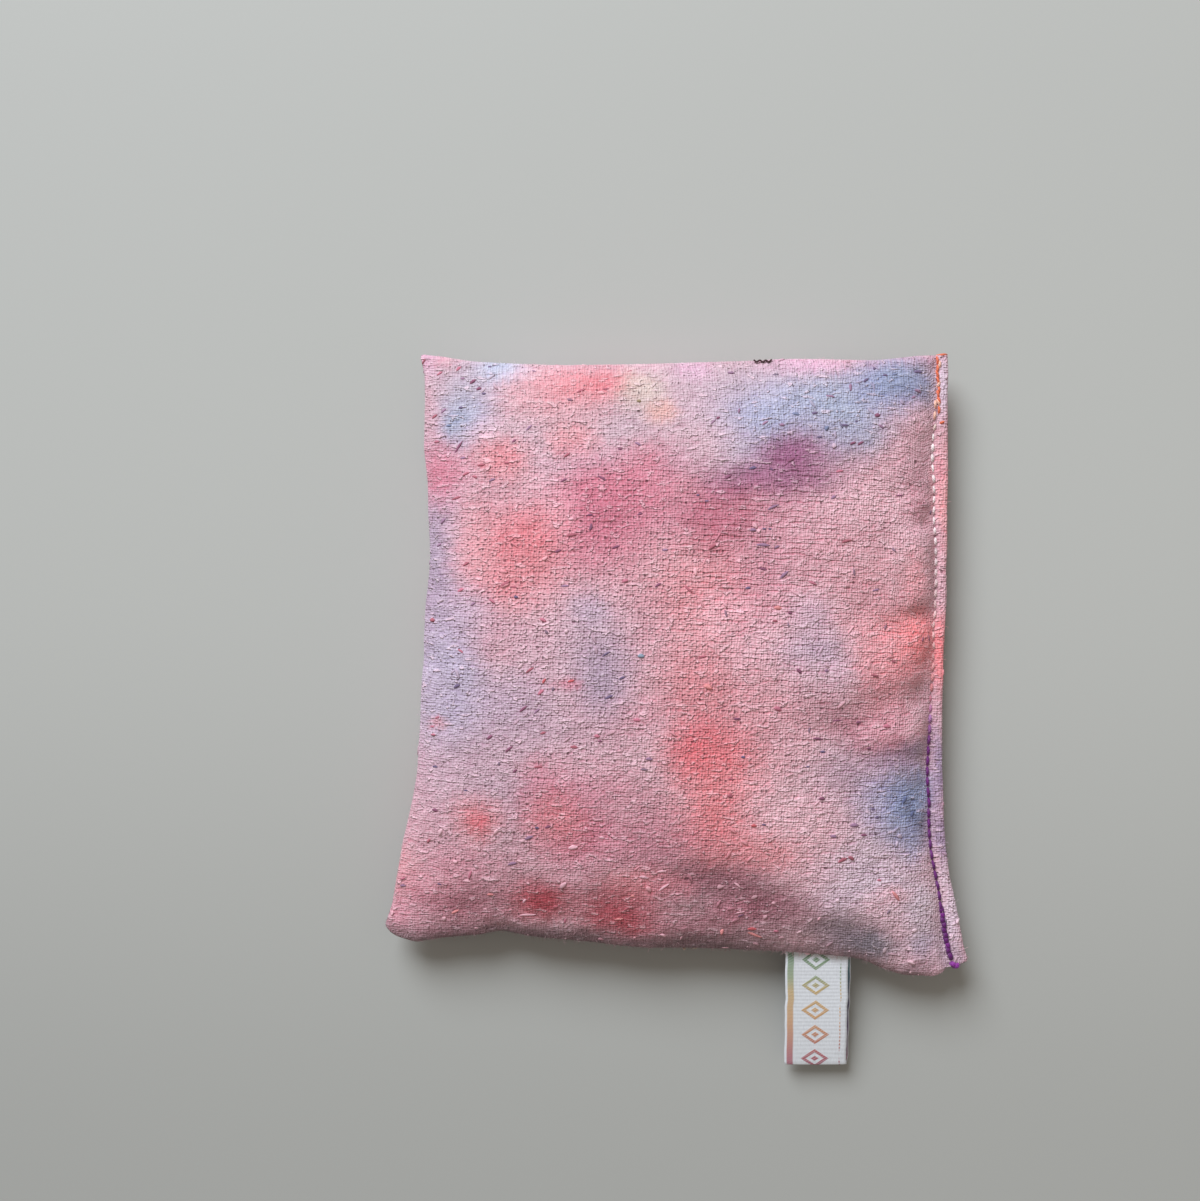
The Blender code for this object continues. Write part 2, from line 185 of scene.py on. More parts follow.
def bagCorners():
    headY, footY = bag["closingLength"] / 2, -bag["closingLength"] / 2
    farHead = np.array([bag["headShift"] - bag["headWidth"] / 2, headY])
    farFoot = np.array([-bag["footWidth"] / 2, footY + bag["footSlant"]])
    closingHead = np.array([bag["headShift"] + bag["headWidth"] / 2 - bag["flange"], headY])
    closingFoot = np.array([bag["footWidth"] / 2 - bag["flange"], footY])
    return farHead, farFoot, closingHead, closingFoot


farHead, farFoot, closingHead, closingFoot = bagCorners()


def drawnSide(start, end, inward, drawIn, share):
    depth, deepest = drawIn
    skew = math.log(0.5) / math.log(deepest)
    share = np.clip(share, 0.0, 1.0)[..., None]
    bow = np.clip(np.sin(math.pi * share ** skew), 0.0, 1.0) ** bag["drawInPower"]
    return start + (end - start) * share + np.array(inward) * depth * bow


def plan(u, v):
    # u runs from the far side to the closing stitches, v from foot to head
    foot = drawnSide(farFoot, closingFoot, (0, 1), bag["footDrawIn"], u)
    head = drawnSide(farHead, closingHead, (0, -1), bag["headDrawIn"], u)
    far = drawnSide(farHead, farFoot, (1, 0), bag["farDrawIn"], 1 - v)
    closing = drawnSide(closingHead, closingFoot, (-1, 0), bag["closingDrawIn"], 1 - v)
    u, v = u[..., None], v[..., None]
    straight = (farFoot * (1 - u) + closingFoot * u) * (1 - v) + (farHead * (1 - u) + closingHead * u) * v
    return foot * (1 - v) + head * v + far * (1 - u) + closing * u - straight + bagMiddle


# How far the sides wander out of their plain curves: pixel along the side, pixels outwards
outlineWander = {
    "foot": [
        (388, 2), (406, 7), (421, 12), (447, 7), (482, 3), (500, -2), (533, 3), (594, 5), (645, 7), (701, 3),
        (786, -1), (851, -2), (866, 0), (882, 6), (901, 10), (930, 7), (946, -3),
    ],
    "far": [
        (360, 4), (380, 1), (400, 2), (420, 3), (450, 5), (480, 2), (520, 1), (560, -1), (600, 2), (640, 2),
        (700, 1), (740, 0), (770, -2), (800, 0), (840, 4), (880, 5), (900, 5), (920, 8),
    ],
    "head": [
        (420, 6), (445, 7), (475, 4), (515, 3), (555, 2), (635, 2), (715, 3), (755, 3), (795, 4), (835, 2),
        (875, 0), (915, 2), (935, 1),
    ],
    "closing": [
        (357, 3), (388, 3.8), (412, 3.4), (428, 0.6), (450, -1), (466, -1.3), (488, 1), (520, 1.4), (548, 4),
        (602, 4.5), (632, 3.2), (648, 4.4), (668, 3.4), (700, 1.8), (742, 0), (768, -1.6), (800, -0.6),
        (835, -1.2), (856, 0), (872, 2), (896, 5), (910, 5.5), (932, 5), (948, 3), (966, 4),
    ],
    "edge": [
        (500, 0.5), (560, 1), (605, 1.5), (640, 0.5), (700, 0), (820, 0.5), (850, 1), (875, 3.5), (905, 7),
        (935, 9.5), (966, 10),
    ],
}
wanderReach = 0.09  # how far into the panel a side carries it along, as a share of the panel
cornerRadii = {(0, 0): 3.4 * mm, (0, 1): 1.5 * mm, (1, 0): 1.6 * mm}


def sideShift(key, pixels):
    stops = outlineWander[key]
    shift = np.interp(pixels, [stop[0] for stop in stops], [stop[1] for stop in stops])
    return shift * photo["metresPerPixel"]


def wandered(spot, u, v):
    scale = photo["metresPerPixel"]
    pixelX, pixelY = photo["originX"] + spot[..., 0] / scale, photo["originY"] - spot[..., 1] / scale
    for key, along, axis, away, sign in (
        ("foot", pixelX, 1, v, -1), ("far", pixelY, 0, u, -1), ("head", pixelX, 1, 1 - v, 1),
        ("closing", pixelY, 0, 1 - u, 1),
    ):
        spot[..., axis] += sign * sideShift(key, along) * np.exp(-((away / wanderReach) ** 2))
    for (endU, endV), radius in cornerRadii.items():
        across = np.clip(1 - np.abs(u - endU) * bag["headWidth"] / radius, 0, 1)
        along = np.clip(1 - np.abs(v - endV) * bag["closingLength"] / radius, 0, 1)
        spot[..., 0] += (1 - 2 * endU) * radius * across * (1 - np.sqrt(1 - along ** 2 / 2))
        spot[..., 1] += (1 - 2 * endV) * radius * along * (1 - np.sqrt(1 - across ** 2 / 2))
    return spot


# The bag's shape: a grid for each panel, simulated with the seam held

swelling = {
    "columns": 68,
    "rows": 74,
    "crowding": 0.45,  # how much closer the grid's lines lie beside the seams
    "pressure": 4.0,
    "slack": 0.015,  # cloth to spare between the seams
    "fillHold": 0.35,  # how far the beans keep the cloth where it starts
    "frames": 20,
    "cap": 2.5 * mm,  # how far a point may move
    "calming": 10,  # rounds of evening out, because slack buckles from one grid line to the next
    "closingLift": 0.85 * mm,  # the closing side's plies hold the panels apart
    "seamLift": 0.12 * mm,
    "floorGap": 0.15 * mm,
}

clothSettings = {
    "quality": 6,
    "mass": 0.3,
    "tension_stiffness": 20,
    "compression_stiffness": 20,
    "shear_stiffness": 8,
    "bending_stiffness": 0.3,
    "use_pressure": True,
    "uniform_pressure_force": swelling["pressure"],
    "shrink_min": -swelling["slack"],
    "vertex_group_mass": "held",
}


def crowded(count):
    even = np.linspace(0, 1, count + 1)
    return mix(even, (1 - np.cos(math.pi * even)) / 2, swelling["crowding"])


def startShape(side):
    u, v = np.meshgrid(crowded(swelling["columns"]), crowded(swelling["rows"]))
    insetU, insetV = bag["seamInset"] / bag["headWidth"], bag["seamInset"] / bag["closingLength"]
    spot = wandered(plan(mix(insetU, 1.0, u), mix(insetV, 1 - insetV, v)), u, v)
    across, along = np.clip(4 * u * (1 - u), 0, 1), np.clip(4 * v * (1 - v), 0, 1)
    across = across ** mix(1.0, bag["closingPower"], smoothStep((u - 0.55) / 0.3))
    along = along ** mix(1.0, bag["footPower"], smoothStep((0.45 - v) / 0.3))
    eased = 1 - np.exp(-(1 - u) * bag["headWidth"] / bag["closingEase"])
    rise = bag["crown"] * (across * along) ** bag["crownPower"] * eased
    drop = bag["belly"] * (across * along) ** bag["bellyPower"] * eased
    lift = mix(swelling["seamLift"], swelling["closingLift"], smoothStep((u - 0.9) / 0.1))
    # the swelling cloth leans out over the seam on the three inside-sewn sides
    height = rise if side > 0 else drop
    bulge = np.sin(math.pi * np.clip(height / bag["leanTop"], 0, 1)) ** bag["leanPower"] * bag["overhang"]
    near = [np.exp(-((away / bag["leanReach"]) ** 2)) for away in (u, 1 - v, v)]
    spot[..., 0] -= bulge * near[0]
    spot[..., 1] += bulge * (near[1] - near[2])
    if side > 0:
        level = bag["seamHeight"] + lift + rise
    else:
        level = np.maximum(swelling["floorGap"], bag["seamHeight"] - lift - drop)
    return np.dstack([spot, level])


def gridFaces(rows, columns, first=0, flip=False):
    index = first + np.arange(rows * columns).reshape(rows, columns)
    a, b = index[:-1, :-1], index[:-1, 1:]
    c, d = index[1:, 1:], index[1:, :-1]
    order = (a, d, c, b) if flip else (a, b, c, d)
    return np.stack([part.ravel() for part in order], axis=1)


def simulate(front, back):
    # both panels in one cloth, each held along its own seam edge and steadied by the beans inside
    rows, columns = front.shape[:2]
    points = np.vstack([front.reshape(-1, 3), back.reshape(-1, 3)])
    faces = np.vstack([gridFaces(rows, columns), gridFaces(rows, columns, rows * columns, flip=True)])
    mesh = bpy.data.meshes.new("swelling")
    mesh.from_pydata(points.tolist(), [], faces.tolist())
    piece = bpy.data.objects.new("swelling", mesh)
    bpy.context.scene.collection.objects.link(piece)
    edge = np.zeros((rows, columns), bool)
    edge[[0, -1], :] = True
    edge[:, [0, -1]] = True
    atSeam = np.tile(edge.ravel(), 2)
    held = piece.vertex_groups.new(name="held")
    held.add(np.nonzero(atSeam)[0].tolist(), 1.0, "REPLACE")
    held.add(np.nonzero(~atSeam)[0].tolist(), swelling["fillHold"], "REPLACE")
    cloth = piece.modifiers.new("cloth", "CLOTH")
    for key, value in clothSettings.items():
        setattr(cloth.settings, key, value)
    cloth.settings.effector_weights.gravity = 0
    cloth.point_cache.frame_start = 1
    cloth.point_cache.frame_end = swelling["frames"]
    for number in range(1, swelling["frames"] + 1):
        bpy.context.scene.frame_set(number)
    evaluated = piece.evaluated_get(bpy.context.evaluated_depsgraph_get())
    result = evaluated.to_mesh()
    moved = np.empty(len(result.vertices) * 3)
    result.vertices.foreach_get("co", moved)
    evaluated.to_mesh_clear()
    bpy.data.objects.remove(piece, do_unlink=True)
    bpy.data.meshes.remove(mesh)
    bpy.context.scene.frame_set(1)
    step = moved.reshape(-1, 3) - points
    length = np.linalg.norm(step, axis=1, keepdims=True)
    cap = swelling["cap"]
    step *= np.where(length > 0, cap * np.tanh(length / cap) / np.maximum(length, 1e-9), 0)
    step = step.reshape(2, rows, columns, 3)
    for _ in range(swelling["calming"]):
        step[:, 1:-1] = 0.25 * step[:, :-2] + 0.5 * step[:, 1:-1] + 0.25 * step[:, 2:]
        step[:, :, 1:-1] = 0.25 * step[:, :, :-2] + 0.5 * step[:, :, 1:-1] + 0.25 * step[:, :, 2:]
    points = points + step.reshape(-1, 3)
    print(f"simulated, mean and largest move in mm {length.mean() / mm:.2f} {length.max() / mm:.2f}")
    points[:, 2] = np.maximum(points[:, 2], swelling["floorGap"])
    front, back = points.reshape(2, rows, columns, 3)
    return front, back


def finerRows(count, factor):
    # weights that put factor - 1 points on a smooth curve between each two of count points
    total = (count - 1) * factor + 1
    weights = np.zeros((total, count))
    for k in range(total):
        base = min(k // factor, count - 2)
        t = k / factor - base
        cubic = (
            -0.5 * t + t ** 2 - 0.5 * t ** 3,
            1 - 2.5 * t ** 2 + 1.5 * t ** 3,
            0.5 * t + 2 * t ** 2 - 1.5 * t ** 3,
            -0.5 * t ** 2 + 0.5 * t ** 3,
        )
        for offset, weight in zip((-1, 0, 1, 2), cubic):
            weights[k, min(max(base + offset, 0), count - 1)] += weight
    return weights


def gridNormals(grid):
    normal = np.cross(np.gradient(grid, axis=1), np.gradient(grid, axis=0))
    return normal / np.maximum(np.linalg.norm(normal, axis=2, keepdims=True), 1e-12)


# Folds, hollows and lumps that the simulation does not give

relief = {
    "lump": (9.0 * mm, 0.20 * mm),  # beans pressing on the cloth: width and height
    "ripple": (3.6 * mm, 0.13 * mm),
    "slub": (1.3 * mm, 0.11 * mm),
    "pucker": (6.0 * mm, 0.40 * mm, 9.0 * mm),  # beside the closing seam: length, height, reach
    "seamPucker": (5.0 * mm, 0.28 * mm, 5.0 * mm),  # beside the inside seams
    "seed": 11,
}

# Hollows, creases and swells on the front: pixel x and y, pixel radii across and down, depth in mm
hollows = [
    (922, 440, 11, 13, 0.75), (916, 487, 14, 8, 0.30), (924, 521, 20, 11, 1.00), (896, 505, 24, 22, 0.50),
    (890, 560, 22, 18, -0.35), (918, 615, 16, 10, 0.90), (884, 622, 26, 12, 0.35), (922, 634, 14, 10, -0.45),
    (926, 664, 10, 10, 0.35), (917, 695, 18, 14, 0.95), (878, 702, 26, 16, 0.70), (845, 714, 26, 18, 0.60),
    (918, 757, 18, 9, 0.65), (890, 752, 26, 12, 0.45), (905, 790, 16, 24, 0.30), (500, 934, 16, 12, 0.90),
    (700, 872, 46, 16, 0.45), (770, 892, 46, 18, 0.55), (850, 930, 44, 14, 0.45), (880, 905, 40, 20, -0.45),
    (452, 905, 34, 14, 0.35), (610, 905, 60, 18, 0.30), (555, 400, 60, 20, -0.25), (800, 452, 26, 14, 0.30),
]

stitching = {
    "pitch": 2.4 * mm,
    "start": 0.9 * mm,  # from the flange's head end to the first needle hole
    "sink": 0.17 * mm,  # how far the thread pulls the cloth in
    "sinkReach": 0.9 * mm,
    "holeReach": 0.34 * mm,
}

footEdgeShading = {  # painted shade along the foot, whose side turns from the lamp
    "reach": 2.7 * mm,
    "until": 62 * mm,  # x where it ends
    "fade": 8 * mm,
}


def reliefHeight(spot, edgeDistance, closingDistance, front):
    x, y = spot[..., 0], spot[..., 1]
    seed = relief["seed"] + (0 if front else 50)
    total = np.zeros_like(x)
    for k, key in enumerate(("lump", "ripple", "slub")):
        cell, height = relief[key]
        total += latticeNoise(x, y, cell, seed + k) * height
    length, height, reach = relief["pucker"]
    wave = latticeNoise(x * 0.25, y, length, seed + 7)
    wave += 0.5 * latticeNoise(x * 0.3, y, length / 2.2, seed + 17)
    total += wave * height * np.exp(-((closingDistance / reach) ** 2))
    length, height, reach = relief["seamPucker"]
    total += latticeNoise(x, y, length, seed + 8) * height * np.exp(-((edgeDistance / reach) ** 2))
    if front:
        scale = photo["metresPerPixel"]
        for pixelX, pixelY, radiusX, radiusY, depth in hollows:
            centreX, centreY = fromPhoto(pixelX, pixelY, 3 * mm)
            away = ((x - centreX) / (radiusX * scale)) ** 2 + ((y - centreY) / (radiusY * scale)) ** 2
            total -= depth * mm * np.exp(-away)
    return total


# The panels as closed shells of cloth, with the flange and the turned-in edges

flangeForm = {
    # share of the flange's width, and height above the seam in mm
    "profile": [
        (0.05, 0.90), (0.12, 0.97), (0.22, 1.04), (0.34, 1.08), (0.48, 1.09), (0.62, 1.07), (0.75, 1.01),
        (0.86, 0.90), (0.94, 0.72), (0.985, 0.52), (1.0, 0.34), (0.97, 0.17), (0.88, 0.09), (0.65, 0.07),
    ],
    "rising": 11,  # how many of these lie one after another from the stitches outwards
    "wave": (9.0 * mm, 0.22 * mm),
    "waver": (5.0 * mm, 0.16 * mm),  # of the flange's outer edge
    "turnIn": [(0.30, 0.10), (1.3, 0.07)],  # mm inwards from the seam, mm above it
    "cornerRise": 1.3 * mm,
}

rim = len(flangeForm["turnIn"])  # rows and columns of turned-in edge round each panel's grid


def withEdges(grid, side):
    # adds the turned-in edges on three sides and the flange on the closing side
    seam = bag["seamHeight"]
    stitch = grid[:, -1, :]
    along = stitch[:, 1]
    cell, height = flangeForm["wave"]
    wave = latticeNoise(along * 0, along, cell, 91) * height
    wave += side * latticeNoise(along * 0, along, cell / 3, 92) * height * 0.35
    cell, height = flangeForm["waver"]
    waver = latticeNoise(along * 0, along, cell, 93) * height
    # the stitches wander, and the outer edge doesn't follow them
    pixelY = photo["originY"] - along / photo["metresPerPixel"]
    waver += sideShift("edge", pixelY) - sideShift("closing", pixelY)
    columns = []
    for share, level in flangeForm["profile"]:
        column = stitch.copy()
        column[:, 0] = stitch[:, 0] + share * (bag["flange"] + waver)
        column[:, 1] += share * flangeForm["cornerRise"] * np.exp(-(((along - along[0]) / (4 * mm)) ** 2))
        column[:, 2] = seam + side * level * mm + wave * min(1, share * 3)
        columns.append(column)
    whole = np.concatenate([grid, np.stack(columns, axis=1)], axis=1)
    for inward, level in flangeForm["turnIn"]:
        column = whole[:, :1].copy()
        column[..., 0] = grid[:, :1, 0] + inward * mm
        column[..., 2] = seam + side * level * mm
        whole = np.concatenate([column, whole], axis=1)
    foot, head = whole[:1].copy(), whole[-1:].copy()
    for inward, level in flangeForm["turnIn"]:
        turnedFoot, turnedHead = foot.copy(), head.copy()
        turnedFoot[..., 1] += inward * mm
        turnedHead[..., 1] -= inward * mm
        for edge in (turnedFoot, turnedHead):
            edge[..., 2] = seam + side * np.minimum(side * (edge[..., 2] - seam), level * mm)
        whole = np.concatenate([turnedFoot, whole, turnedHead], axis=0)
    return whole


def clothLengths(grid):
    # how far each point lies from the middle, measured along the cloth
    across = np.linalg.norm(np.diff(grid, axis=1), axis=2)
    along = np.linalg.norm(np.diff(grid, axis=0), axis=2)
    u = np.concatenate([np.zeros((grid.shape[0], 1)), np.cumsum(across, axis=1)], axis=1)
    v = np.concatenate([np.zeros((1, grid.shape[1])), np.cumsum(along, axis=0)], axis=0)
    u -= u[:, grid.shape[1] // 2][:, None]
    v -= v[grid.shape[0] // 2, :][None, :]
    return u, v


def shellMesh(name, grid, side, factor, shades):
    # the outer face at full fineness, the inner face coarser, joined round the edge
    rows, columns = grid.shape[:2]
    pickRows = sorted(set(range(0, rows, factor)) | {rows - 1})
    pickColumns = sorted(set(range(0, columns, factor)) | {columns - 1})
    normal = gridNormals(grid) * side
    inner = (grid - normal * bag["clothThickness"])[np.ix_(pickRows, pickColumns)]
    innerShape = inner.shape[:2]
    points = np.vstack([grid.reshape(-1, 3), inner.reshape(-1, 3)])
    first = rows * columns
    faces = gridFaces(rows, columns, flip=side < 0).tolist()
    faces += gridFaces(*innerShape, first, flip=side > 0).tolist()
    outerIndex = np.arange(first).reshape(rows, columns)
    innerIndex = first + np.arange(innerShape[0] * innerShape[1]).reshape(innerShape)
    edges = [(outerIndex[k], innerIndex[k], pickColumns) for k in (0, -1)]
    edges += [(outerIndex[:, k], innerIndex[:, k], pickRows) for k in (0, -1)]
    for outer, innerRow, picks in edges:
        for k in range(len(picks) - 1):
            run = outer[picks[k]: picks[k + 1] + 1].tolist()
            half = len(run) // 2
            a, b = int(innerRow[k]), int(innerRow[k + 1])
            faces += [(run[m + 1], run[m], a) for m in range(half)]
            faces.append((run[half], a, b))
            faces += [(run[m + 1], run[m], b) for m in range(half, len(run) - 1)]
    mesh = bpy.data.meshes.new(name)
    mesh.from_pydata(points.tolist(), [], faces)
    faceOutwards(mesh)
    uv = np.stack(clothLengths(grid), axis=2)
    innerUv = uv[np.ix_(pickRows, pickColumns)]
    layUv(mesh, "clothLength", np.vstack([uv.reshape(-1, 2), innerUv.reshape(-1, 2)]))
    for key, values in shades.items():
        layAttribute(mesh, key, "FLOAT", [*values.ravel(), *np.zeros(innerShape[0] * innerShape[1])])
    mesh.shade_smooth()
    return mesh


def needleRun(line):
    # how far each point of the stitch line lies from the head end, along the line
    steps = np.linalg.norm(np.diff(line, axis=0), axis=1)
    return np.concatenate([np.cumsum(steps[::-1])[::-1], [0.0]])


def makePanels():
    front, back = startShape(1), startShape(-1)
    front, back = simulate(front, back)
    shaped = {}
    for name, grid, side, factor in (("frontCloth", front, 1, 4), ("backCloth", back, -1, 3)):
        down, over = (finerRows(count, factor) for count in grid.shape[:2])
        u, v = np.meshgrid(over @ crowded(swelling["columns"]), down @ crowded(swelling["rows"]))
        fine = np.einsum("ri,ijk,cj->rck", down, grid, over)
        closingDistance = (1 - u) * bag["headWidth"]
        edgeDistance = np.minimum(u * bag["headWidth"], np.minimum(v, 1 - v) * bag["closingLength"])
        height = reliefHeight(fine, edgeDistance, closingDistance, side > 0)
        held = smoothStep(np.minimum(edgeDistance, closingDistance) / (2.2 * mm))
        if side < 0:
            height = np.where(fine[..., 2] < 1.0 * mm, height * 0.3, height)
        fine = fine + gridNormals(fine) * side * (height * held)[..., None]
        fine[..., 2] = np.maximum(fine[..., 2], swelling["floorGap"])
        whole = withEdges(fine, side)
        # the thread pulls the cloth in along the stitches, a little more at the needle holes
        column = rim + fine.shape[1] - 1
        needle = np.pad(needleRun(whole[rim:-rim, column]), rim, mode="edge")
        toLine = np.linalg.norm(whole - whole[:, column: column + 1], axis=2)
        phase = (needle - stitching["start"]) / stitching["pitch"]
        toHole = np.abs(phase - np.round(phase)) * stitching["pitch"]
        # painted shade: a mask round each needle hole, which darkens the cloth's colour there
        needleShadeMask = np.exp(-((np.hypot(toLine, toHole[:, None]) / stitching["holeReach"]) ** 2))
        pull = np.exp(-((toLine / stitching["sinkReach"]) ** 2))
        pull *= (0.85 + 0.15 * np.cos(2 * math.pi * phase))[:, None]
        whole[..., 2] -= side * stitching["sink"] * pull
        # painted shade: a band along the foot's edge that darkens the colour there, but not on the flange
        toFoot = whole[..., 1] - whole[rim, :, 1][None, :]
        footEdgeShade = np.exp(-((toFoot / footEdgeShading["reach"]) ** 2))
        footEdgeShade *= smoothStep((footEdgeShading["until"] - whole[..., 0]) / footEdgeShading["fade"])
        footEdgeShade[:, column - 4:] = 0
        shaped[name] = {"grid": whole, "side": side, "factor": factor, "stitchColumn": column,
                        "shades": {"needleShade": needleShadeMask, "footEdgeShade": footEdgeShade}}
    return shaped


panels = makePanels()
print("panels shaped")


# Node helpers: what feeds a node is always made before it

def plug(tree, value, socket):
    if isinstance(value, bpy.types.NodeSocket):
        tree.links.new(value, socket)
    elif value is not None:
        socket.default_value = value


def addNode(tree, kind, inputs=None, **settings):
    # inputs are by name or by number
    made = tree.nodes.new(kind)
    for key, value in settings.items():
        setattr(made, key, value)
    for key, value in (inputs or {}).items():
        plug(tree, value, made.inputs[key])
    return made


def calc(tree, operation, *values):
    return addNode(tree, "ShaderNodeMath", dict(enumerate(values)), operation=operation).outputs[0]


def times(tree, *values):
    total = values[0]
    for value in values[1:]:
        total = calc(tree, "MULTIPLY", total, value)
    return total


def timesPlus(tree, value, factor, added):
    return calc(tree, "MULTIPLY_ADD", value, factor, added)


def centred(tree, value):
    return calc(tree, "SUBTRACT", value, 0.5)


def larger(tree, *values):
    return calc(tree, "MAXIMUM", *values)


def vectorCalc(tree, operation, *values):
    made = addNode(tree, "ShaderNodeVectorMath", dict(enumerate(values)), operation=operation)
    return made.outputs["Value" if operation == "LENGTH" else "Vector"]


def scaled(tree, vector, scale):
    inputs = {0: vector, "Scale": scale}
    return addNode(tree, "ShaderNodeVectorMath", inputs, operation="SCALE").outputs["Vector"]


def ramp(tree, value, low, high, outLow=0.0, outHigh=1.0, smooth=True):
    inputs = {"Value": value, "From Min": low, "From Max": high, "To Min": outLow, "To Max": outHigh}
    kind = "SMOOTHSTEP" if smooth else "LINEAR"
    return addNode(tree, "ShaderNodeMapRange", inputs, interpolation_type=kind).outputs["Result"]


def blendColour(tree, share, under, over):
    # a mix node's colour sockets are 6 and 7, and its colour comes out at 2
    return addNode(tree, "ShaderNodeMix", {0: share, 6: under, 7: over}, data_type="RGBA").outputs[2]


def noise(tree, vector, scale, detail=2.0, coloured=False):
    made = addNode(tree, "ShaderNodeTexNoise", {"Vector": vector, "Scale": scale, "Detail": detail})
    return made.outputs[1 if coloured else 0]


def split(tree, vector):
    return addNode(tree, "ShaderNodeSeparateXYZ", {0: vector}).outputs[:3]


def join(tree, x=0.0, y=0.0, z=0.0):
    return addNode(tree, "ShaderNodeCombineXYZ", {0: x, 1: y, 2: z}).outputs[0]


def stretched(tree, x, y, scaleX, scaleY, z=0.0):
    return join(tree, times(tree, x, scaleX), times(tree, y, scaleY), z)


def newGroup(name, kind, inputs, outputs):
    # sockets are given as name: kind
    tree = bpy.data.node_groups.new(name, kind)
    for direction, sockets in (("INPUT", inputs), ("OUTPUT", outputs)):
        for key, socketKind in sockets.items():
            tree.interface.new_socket(name=key, in_out=direction, socket_type="NodeSocket" + socketKind)
    return tree, tree.nodes.new("NodeGroupInput"), tree.nodes.new("NodeGroupOutput")


def useGroup(tree, group, **values):
    return addNode(tree, "ShaderNodeGroup", values, node_tree=group).outputs


def newMaterial(name, values):
    made = bpy.data.materials.new(name)
    made.use_nodes = True
    surface = made.node_tree.nodes["Principled BSDF"]
    for key, value in values.items():
        surface.inputs[key].default_value = value
    return made, made.node_tree, surface


def objectPlace(tree):
    return addNode(tree, "ShaderNodeTexCoord").outputs["Object"]


def uvPlace(tree, name):
    return addNode(tree, "ShaderNodeUVMap", uv_map=name).outputs[0]


def attribute(tree, name, output="Fac"):
    return addNode(tree, "ShaderNodeAttribute", attribute_name=name).outputs[output]


def addBump(tree, surface, height, strength, distance):
    made = addNode(tree, "ShaderNodeBump", {"Strength": strength, "Distance": distance, "Height": height})
    tree.links.new(made.outputs["Normal"], surface.inputs["Normal"])


# Dye: a group for one spot of dye, and one group for each panel that lays its spots over each other

def makeDyeSpot():
    inputs = {"Under": "Color", "Place": "Vector", "Centre": "Vector", "Radii": "Vector",
              "Strength": "Float", "Dye": "Color"}
    tree, enter, leave = newGroup("dyeSpot", "ShaderNodeTree", inputs, {"Colour": "Color"})
    given = enter.outputs
    away = vectorCalc(tree, "SUBTRACT", given["Place"], given["Centre"])
    reach = vectorCalc(tree, "LENGTH", vectorCalc(tree, "DIVIDE", away, given["Radii"]))
    share = ramp(tree, reach, *dye["edge"], given["Strength"], 0.0)
    plug(tree, blendColour(tree, share, given["Under"], given["Dye"]), leave.inputs["Colour"])
    return tree


palette = {  # as they look on a screen
    "base": (203, 152, 165), "shell": (217, 172, 184), "pale": (214, 186, 202), "cream": (200, 177, 188),
    "lavender": (185, 163, 186), "mauve": (188, 157, 174), "dusk": (172, 146, 168), "mist": (174, 169, 195),
    "sky": (181, 183, 206), "blue": (148, 158, 183), "slate": (114, 112, 146), "coral": (213, 132, 141),
    # painted light: the bright coral (240, 140, 146) and the bright pink (240, 190, 202) lighten cloth that
    # the lamp shades more than in the real bag
    "paintedLightCoral": (240, 140, 146), "ash": (176, 160, 172), "lilac": (164, 138, 168), "azure": (140, 148, 184),
    "haze": (172, 178, 216), "frost": (160, 178, 192), "paintedLightPink": (240, 190, 202), "blush": (236, 166, 172),
    "peach": (217, 146, 154), "vermilion": (215, 106, 118), "rose": (202, 116, 137),
    "madder": (184, 104, 124), "berry": (150, 88, 124), "red": (172, 66, 78), "wine": (156, 88, 102),
    # painted shade: the dark brown (120, 84, 90) and the dark grey (112, 104, 116) darken the foot's edge,
    # the side that turns from the lamp
    "plum": (140, 80, 94), "shadeUmber": (120, 84, 90), "pink": (211, 164, 190), "gold": (216, 198, 172),
    "orange": (216, 162, 154), "violet": (142, 108, 134), "shadeGrey": (112, 104, 116),
}

dye = {
    "lift": (1.25, 1.34, 1.32),  # makes up for the light that the weave swallows
    "wander": (16 * mm, 5.0 * mm),  # bends the spots' edges: size and reach
    "feather": (3.2 * mm, 1.6 * mm),
    "bleed": (0.65 * mm, 3.08 * mm),  # along single yarns
    "slant": 0.12,  # how much longer the bleeding is along a yarn than across it
    "edge": (0.12, 1.12),  # where a spot begins to fade and where it ends, in radii
    "ground": 22 * mm,  # size of the patches in the ground colour
    "mottle": (2.4 * mm, 0.93, 1.07),  # size, darkest and lightest
}
